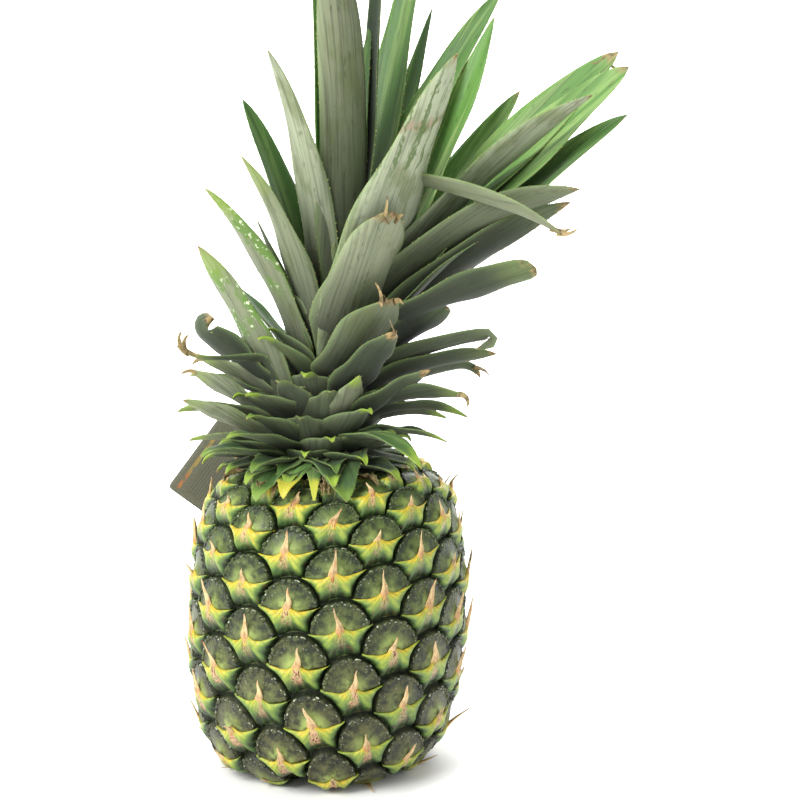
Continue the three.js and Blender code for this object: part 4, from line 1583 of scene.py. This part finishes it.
@dataclass
class Crown:
    """The crown: every leaf, the teeth of their edges and the stem."""

    form: FruitForm = field(default_factory=FruitForm)
    base: tuple[float, float, float] = (-3.0, 0.0, 131.5)
    stem_foot: float = 16.0
    stem_top: float = 5.0
    stem_height: float = 75.0
    stem_lean: float = 0.16
    bend: float = 1.4
    foot_thickness: float = 2.6
    tip_thickness: float = 0.6
    channel: float = 0.3
    foot_width_share: float = 0.5
    widening: float = 2.0
    taper: float = 2.2
    taper_fullness: float = 0.8
    blunt_taper: float = 7.0
    blunt_fullness: float = 0.55
    beak_from: float = 0.3
    beak_width: float = 0.34
    curl_from: float = 0.78
    fold_reach: float = 0.035
    clear_from: float = 0.15
    least_half_width: float = 0.12
    least_half_thickness: float = 0.08
    ripple: float = 0.05
    gutter_fullness: float = 0.65
    golden_turn: float = 137.5
    fill_count: int = 12
    fill_first: float = 62.0
    fill_width: float = 15.0
    fill_front_share: float = 0.3
    fill_outermost: tuple[float, ...] = (13, 52, 66, 60)
    fill_innermost: tuple[float, ...] = (67, 5, 8, 120)
    scale_count: int = 40
    scale_first: float = -160.0
    scale_top: float = 44.0
    scale_lowest: tuple[float, ...] = (60, 78, 30, 19, 17)
    scale_highest: tuple[float, ...] = (26, 42, 27, 22, 10)
    front_half: float = 58.0
    along_count: int = 44
    across_count: int = 10
    tooth_gap: float = 3.4
    tooth_length: float = 1.3
    tooth_width: float = 0.38
    tooth_sizes: tuple[float, float] = (0.4, 0.8)
    toothed: tuple[float, float] = (0.16, 0.96)
    sliver_length: tuple[float, float] = (5, 11)
    sliver_width: tuple[float, float] = (0.8, 2.0)
    sliver_bend: tuple[float, float] = (30, 110)
    stem_rows: int = 24
    stem_around: int = 28
    seed: int = 3

    def inner_leaves(self) -> list[Leaf]:
        """List the leaves of the back and the inside, one golden turn after another.

        Returns:
            The leaves.
        """
        leaves = []
        for number in range(self.fill_count):
            azimuth = self.fill_first + self.golden_turn * number
            t = number / (self.fill_count - 1)
            turn = math.radians(azimuth)
            share = blend(1.0, 0.65, max(-math.sin(turn), 0))
            if math.cos(turn) > 0.2:
                share = self.fill_front_share
            *grows, length = blend(np.array(self.fill_outermost), np.array(self.fill_innermost), t)
            leaves.append(Leaf(azimuth, *grows, length * share, self.fill_width, fresh=0.4, bloom=0.4))
        return leaves

    def neck_leaves(self) -> list[Leaf]:
        """List the short leaves of the neck: those in front one by one, the others by rule.

        Returns:
            The leaves.
        """
        rng = np.random.default_rng(self.seed)
        leaves = SCALES + LOWEST_SCALES
        for number in range(self.scale_count):
            azimuth = (self.golden_turn * number + self.scale_first + 360) % 360 - 180
            height = self.scale_top * number / self.scale_count
            if abs(azimuth) < self.front_half:
                continue
            t = height / self.scale_top
            *grows, foot = blend(np.array(self.scale_lowest), np.array(self.scale_highest), t)
            leaves.append(
                Leaf(
                    azimuth, height, *grows, foot=foot, curl=rng.uniform(50, 90), beak=0.9,
                    fresh=rng.uniform(0.3, 0.6), bloom=rng.uniform(0.3, 0.7), lime=rng.uniform(0.6, 1.0),
                    shade=0.5, clearance=2.5,
                )
            )
        for count, leaf in NECK_RINGS:
            for i in range(count):
                leaves.append(
                    replace(
                        leaf,
                        azimuth=leaf.azimuth + 360 * i / count + rng.uniform(-6, 6),
                        length=leaf.length * rng.uniform(0.82, 1.1),
                        width=leaf.width * rng.uniform(0.8, 1.2),
                        fresh=rng.uniform(0.3, 0.8),
                        bloom=rng.uniform(0.1, 0.3),
                        lime=rng.uniform(0.7, 1.0),
                        dry=leaf.dry * rng.uniform(0, 1),
                    )
                )
        return leaves

    def stations(self, leaf: Leaf) -> tuple[np.ndarray, np.ndarray, np.ndarray, np.ndarray]:
        """Follow a leaf from its foot to its tip.

        Args:
            leaf: The leaf.

        Returns:
            Share of the length, places, side directions and inner directions.
        """
        s = np.linspace(0, 1, self.along_count + 1)
        azimuth = np.radians(np.full_like(s, leaf.azimuth))
        fold = smooth(leaf.fold_at - self.fold_reach, leaf.fold_at + self.fold_reach, s)
        lean = blend(leaf.lean, leaf.tip_lean, s**self.bend)
        lean = np.radians(lean + leaf.curl * smooth(self.curl_from, 1.0, s) + leaf.fold * fold)
        outward = columns(np.sin(azimuth), -np.cos(azimuth), 0.0)
        up = np.array([0.0, 0.0, 1.0])
        tangent = outward * np.sin(lean)[:, None] + up * np.cos(lean)[:, None]
        foot = outward[0] * leaf.foot + np.array(self.base)
        foot = foot + np.array([leaf.height * self.stem_lean, 0, leaf.height])
        walk = np.concatenate([np.zeros((1, 3)), np.cumsum(tangent[:-1], 0)])
        place = foot + walk * leaf.length / self.along_count
        floor = self.form.shoulder(np.hypot(place[:, 0], place[:, 1])) + leaf.clearance
        place[:, 2] = np.where(s > self.clear_from, np.maximum(place[:, 2], floor), place[:, 2])
        side = np.cross(outward, up)
        face = np.cross(side, tangent)
        for i, share in enumerate(s):
            turn = Quaternion(Vector(tangent[i]), math.radians(leaf.roll * share))
            side[i] = turn @ Vector(side[i])
            face[i] = turn @ Vector(face[i])
        return s, place, side, face

    def width_share(self, leaf: Leaf, s: np.ndarray) -> np.ndarray:
        """Give the share of its full width that a leaf has along its length.

        Args:
            leaf: The leaf.
            s: Shares of its length.

        Returns:
            Shares of its width.
        """
        foot_share = blend(self.foot_width_share, 0.95, leaf.beak)
        widening = np.minimum(1, foot_share + self.widening * s)
        taper = blend(self.taper, self.blunt_taper, leaf.blunt)
        full = blend(self.taper_fullness, self.blunt_fullness, leaf.blunt)
        share = widening * np.maximum(1 - s**taper, 0) ** full
        body = np.maximum(1 - (np.maximum(s - self.beak_from, 0) / 0.5) ** 2, 0) ** 0.8
        point = np.clip((1 - s) / self.beak_from, 0, 1) ** 0.85
        beak = np.maximum(body, self.beak_width * point)
        return blend(share, np.minimum(widening, beak), leaf.beak)

    def slivers(self, leaf: Leaf, rng: np.random.Generator) -> list[tuple[Leaf, tuple]]:
        """Split a frayed leaf end into thin dead strips that curl away.

        Args:
            leaf: The leaf.
            rng: Source of their differences.

        Returns:
            Each strip as a leaf of its own with its line.
        """
        s, place, side, face = self.stations(leaf)
        half = leaf.width / 2 * self.width_share(leaf, s)
        strips = []
        for _ in range(leaf.frayed):
            i = int(self.along_count * rng.uniform(0.93, 0.99))
            start = place[i] + side[i] * half[i] * rng.uniform(-0.8, 0.8)
            forth = Vector(place[i] - place[i - 1]).normalized()
            forth = Quaternion(Vector(face[i]), rng.uniform(-0.8, 0.8)) @ forth
            length, width = rng.uniform(*self.sliver_length), rng.uniform(*self.sliver_width)
            bend = math.radians(rng.uniform(*self.sliver_bend)) * rng.choice([-1, 1])
            spots, faces, at = [], [], Vector(start)
            for share in s:
                way = Quaternion(Vector(side[i]), bend * share) @ forth
                spots.append(at.copy())
                faces.append(Vector(side[i]).cross(way).normalized())
                at += way * length / self.along_count
            strip = Leaf(0, 0, 0, 0, length, width, dry=1.0, fresh=0.3, bloom=0.3)
            sides = np.tile(np.array(Vector(side[i])), (len(s), 1))
            strips.append((strip, (s, np.array(spots), sides, np.array(faces))))
        return strips

    def leaf_mesh(
        self, leaf: Leaf, line: tuple, rng: np.random.Generator
    ) -> tuple[np.ndarray, list, np.ndarray]:
        """Make one leaf as a closed shell with its attributes.

        Args:
            leaf: The leaf.
            line: Shares of its length, places, side directions and inner directions.
            rng: Source of its small differences.

        Returns:
            Vertices, faces and the edge lines for the teeth.
        """
        s, place, side, face = line
        a = np.linspace(1, -1, self.across_count + 1)[None, :, None]
        half = (leaf.width / 2 * self.width_share(leaf, s) + self.least_half_width)[:, None, None]
        thick = blend(self.foot_thickness, self.tip_thickness, s)[:, None, None] / 2
        phase = rng.uniform(0, 6.28, 2)
        s3 = s[:, None, None]
        wave = 2 * np.pi * rng.uniform(1.5, 2.6) * s3 + phase[0] + 1.4 * np.sign(a)
        wave = self.ripple * leaf.width * np.sin(wave) * np.abs(a) ** 3 * smooth(0.1, 0.4, s3)
        wave = wave * (half / leaf.width * 2) * (1 - 0.9 * leaf.beak)
        shrivel = np.clip((s3 - (1 - leaf.dry)) / 0.06, 0, 1) if leaf.dry else 0.0
        crumple = shrivel * 0.18 * half * np.sin(9.0 * a + 60 * s3 + phase[1])
        crumple = crumple + shrivel * 0.4 * half * a**2
        torn = 1 - shrivel * (0.5 + 0.2 * np.sin(95 * s3 + 3 * np.sign(a) + phase[0]))
        gutter = blend(np.abs(a) ** 1.3, a**2, self.gutter_fullness)
        gutter = blend(self.channel, 0.5, leaf.beak) * half * gutter
        middle = place[:, None] + side[:, None] * a * half * torn + face[:, None] * (gutter + wave + crumple)
        body = face[:, None] * (thick * np.sqrt(1 - 0.97 * a**2) + self.least_half_thickness)
        seed = rng.uniform(0, 1)
        share, across = s[:, None], a[:, :, 0]
        grids = []
        for sheet, which in ((middle + body, 1.0), (middle - body, -1.0)):
            marks = columns(share, across, which, across * half[:, :, 0], share * leaf.length, seed)
            grids.append(np.concatenate([sheet, marks], -1))
        points, faces = closed_shell(*grids)
        edges = np.stack([middle[:, 0], middle[:, -1], side, np.cross(face, side)], 1)
        return points, faces, edges

    def leaves(
        self, name: str, plan: list[Leaf], material: Material
    ) -> tuple[Object, list]:
        """Make a set of leaves as one piece.

        Args:
            name: Name of the piece.
            plan: The leaves.
            material: Their finish.

        Returns:
            The piece and the edge lines of its leaves.
        """
        rng = np.random.default_rng(self.seed + len(plan))
        points, faces, looks, edges, start = [], [], [], [], 0
        lines = [(leaf, self.stations(leaf)) for leaf in plan]
        for leaf in plan:
            lines += self.slivers(leaf, rng)
        for leaf, line in lines:
            vertices, skin, edge = self.leaf_mesh(leaf, line, rng)
            faces += shifted(skin, start)
            start += len(vertices)
            points.append(vertices)
            if leaf.dry < 1:
                edges.append((leaf, edge))
            look = [leaf.fresh, leaf.bloom, leaf.dry, leaf.scar, leaf.rubbed, leaf.lime, leaf.shade]
            looks.append(np.tile(look, (len(vertices), 1)))
        points, looks = np.concatenate(points), np.concatenate(looks)
        attributes = {
            "leaf_at": points[:, 3:6],
            "leaf_mm": points[:, 6:9],
            "leaf_tone": looks[:, 0:3],
            "leaf_mark": looks[:, 3:6],
            "leaf_shade": looks[:, 6],
        }
        return mesh_object(name, points[:, :3] * MM, faces, attributes, material), edges

    def teeth(self, edges: list, material: Material) -> Object:
        """Set small teeth along the edges of the leaves.

        Args:
            edges: Each leaf with its edge lines.
            material: Finish of the teeth.

        Returns:
            The piece with all teeth.
        """
        rng = np.random.default_rng(self.seed)
        spots, ways, sizes = [], [], []
        for leaf, lines in edges:
            first, last = self.toothed
            count = int(leaf.length * (last - first) / self.tooth_gap)
            for column, sign in ((0, 1.0), (1, -1.0)):
                share = np.linspace(first, last, count) + rng.uniform(-0.006, 0.006, count)
                at = np.clip(share, 0, 1) * self.along_count
                low = np.minimum(at.astype(int), self.along_count - 1)
                part = (at - low)[:, None]
                spots.append(blend(lines[low, column], lines[low + 1, column], part))
                ways.append(sign * lines[low, 2] * 0.75 + lines[low, 3] * 0.65)
                sizes.append(rng.uniform(*self.tooth_sizes, count) * (1.0 - 0.3 * leaf.beak))
        attributes = {"tooth_way": np.concatenate(ways), "tooth_size": np.concatenate(sizes)}
        source = mesh_object("teeth_source", np.concatenate(spots) * MM, [], attributes)
        values = {"Length": self.tooth_length * MM, "Width": self.tooth_width * MM, "Material": material}
        return grown_mesh(source, ToothTree().build(), values, "leaf_teeth")

    def stem(self, material: Material) -> Object:
        """Make the short stem that carries the leaves.

        Args:
            material: Its finish.

        Returns:
            The piece.
        """
        rows, around = self.stem_rows + 1, self.stem_around
        t = np.linspace(0, 1, rows)[:, None]
        angle = np.linspace(0, 2 * np.pi, around, endpoint=False)
        radius = blend(self.stem_foot, self.stem_top, t) * (1 + 0.06 * np.sin(5 * angle + 9 * t))
        x = radius * np.cos(angle) + self.base[0] + self.stem_lean * self.stem_height * t
        z = self.base[2] + 0.4 + self.stem_height * t
        points = columns(x, radius * np.sin(angle), z).reshape(-1, 3)
        ends = [list(range(around))[::-1], list(range((rows - 1) * around, rows * around))]
        return mesh_object("stem", points * MM, row_faces(rows, around) + ends, material=material)

    def build(self) -> list[Object]:
        """Build all leaves, their teeth and the stem.

        Returns:
            The pieces of the crown.
        """
        skin = LeafSkin().build()
        long, long_edges = self.leaves("long_leaves", BLADES + self.inner_leaves(), skin)
        short, short_edges = self.leaves("neck_leaves", self.neck_leaves(), skin)
        teeth = self.teeth(long_edges + short_edges, ToothSkin().build())
        return [long, short, teeth, self.stem(StemSkin().build())]


@dataclass
class ToothTree:
    """Geometry Nodes that set a small cone on every point, along the way stored there."""

    name: str = "tooth_tree"
    sides: int = 5

    def build(self) -> NodeTree:
        """Make the tree.

        Returns:
            The node tree.
        """
        inputs = {"Geometry": ("Geometry",), "Float": ("Length", "Width"), "Material": ("Material",)}
        tree, put, given = new_tree(self.name, inputs)
        cone = put("cone", self.sides, given["Width"], given["Length"])
        turn = put("align", put("read_vector", "tooth_way"))
        size = put("read_number", "tooth_size")
        teeth = put("realize", put("instances", given["Geometry"], cone, None, turn, size))
        put("result", put("dress", teeth, given["Material"]))
        return tree


@dataclass
class Tag:
    """The card tag that leans behind the left shoulder."""

    width: float = 30.0
    length: float = 44.0
    thickness: float = 0.6
    corner: tuple[float, float, float] = (-71.0, 46.0, 111.5)
    slope: float = 53.5
    columns: int = 16
    rows: int = 22
    bow: float = 0.2
    corner_round: float = 1.2
    corner_cut: float = 0.35

    def build(self) -> list[Object]:
        """Build the card.

        Returns:
            The piece of the tag.
        """
        wide = np.linspace(0, self.width, self.columns + 1)
        tall = np.linspace(self.length, 0, self.rows + 1)[:, None]
        near_wide = np.maximum(self.corner_round - np.minimum(wide, self.width - wide), 0)
        near_tall = np.maximum(self.corner_round - np.minimum(tall, self.length - tall), 0)
        cut = self.corner_cut * near_wide * near_tall / self.corner_round
        w = wide + np.where(wide < self.width / 2, cut, -cut)
        h = tall + np.where(tall < self.length / 2, cut, -cut)
        turn, half = math.radians(90 - self.slope), self.thickness / 2
        x = self.corner[0] + w * math.cos(turn) + h * math.sin(turn)
        z = self.corner[2] - w * math.sin(turn) + h * math.cos(turn)
        bow = self.bow * ((w / self.width - 0.5) ** 2 * 4 - 0.5)
        grids = [columns(x, self.corner[1] + deep, z, w, h, deep) for deep in (bow - half, bow + half)]
        points, faces = closed_shell(*grids)
        card = PrintedCard().build()
        return [mesh_object("tag_card", points[:, :3] * MM, faces, {"card_at": points[:, 3:6]}, card)]


@dataclass
class Studio:
    """Paper, soft lights and the camera of the photograph."""

    camera_at: tuple[float, float, float] = (0.0335, -0.9, 0.318)
    pitch: float = 10.0
    focal_pixels: float = 2149.0
    frame_pixels: float = 800.0
    sensor: float = 36.0
    paper_half_width: float = 4.0
    paper_front: float = -2.0
    paper_back: float = 4.0
    paper_bend_from: float = 1.6
    world_strength: float = 0.68

    def build(self) -> None:
        """Set up the paper, the lights, the world and the camera."""
        self._paper()
        self._lights()
        camera = bpy.data.cameras.new("camera")
        camera.sensor_width = self.sensor
        camera.lens = self.sensor * self.focal_pixels / self.frame_pixels
        seen = bpy.data.objects.new("camera", camera)
        seen.location = self.camera_at
        seen.rotation_euler = (math.radians(90 - self.pitch), 0, 0)
        bpy.context.scene.collection.objects.link(seen)
        bpy.context.scene.camera = seen
        bpy.context.scene.view_settings.view_transform = "Standard"

    def _paper(self) -> None:
        """Lay the sweep of paper: flat under the fruit and rising far behind it."""
        run = np.linspace(self.paper_front, self.paper_back, 61)[:, None]
        wide = np.linspace(-self.paper_half_width, self.paper_half_width, 9)
        rise = np.maximum(run - self.paper_bend_from, 0) ** 2 / 2
        points = columns(wide, run, rise).reshape(-1, 3)
        faces = row_faces(len(run), len(wide), is_ring=False)
        mesh_object("paper_sweep", points, faces, material=StudioPaper().build())

    def _lights(self) -> None:
        """Hang a soft key light above and in front on the left, a weak fill on the right, a light behind the
        fruit and one that lights the paper behind it.
        """
        fruit, sweep = Vector((0.0, 0.0, 0.16)), Vector((0.0, 3.6, 1.0))
        plan = [
            ("key", (-0.9, -0.9, 1.1), fruit, 32.0, 0.9),
            ("fill", (1.2, -0.9, 0.6), fruit, 2.5, 1.2),
            ("back", (0.1, 1.0, 1.3), fruit, 12.0, 1.2),
            ("sweep", (0.0, 0.9, 2.4), sweep, 260.0, 2.0),
        ]
        for name, place, target, watts, size in plan:
            light = bpy.data.lights.new(name, "AREA")
            light.shape = "SQUARE"
            light.size = size
            light.energy = watts
            lamp = bpy.data.objects.new(name, light)
            lamp.location = place
            lamp.rotation_euler = (target - Vector(place)).to_track_quat("-Z", "Y").to_euler()
            bpy.context.scene.collection.objects.link(lamp)
        world = bpy.data.worlds.new("studio")
        world.use_nodes = True
        background = world.node_tree.nodes["Background"]
        background.inputs["Color"].default_value = linear("ffffff")
        background.inputs["Strength"].default_value = self.world_strength
        bpy.context.scene.world = world


def main() -> None:
    """Build every piece, ride it on the body and report it."""
    logging.basicConfig(level=logging.INFO, format="%(name)s: %(message)s")
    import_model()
    plan = [
        ("fruit", Fruit().build(), "rind"),
        ("crown", Crown().build(), "leaf"),
        ("tag", Tag().build(), "card"),
    ]
    for node, pieces, slot in plan:
        for piece in pieces:
            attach(piece, "root")
            LOG.info("%s: %d faces", piece.name, len(piece.data.polygons))
        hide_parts(node)
    Studio().build()


if __name__ == "__main__":
    main()
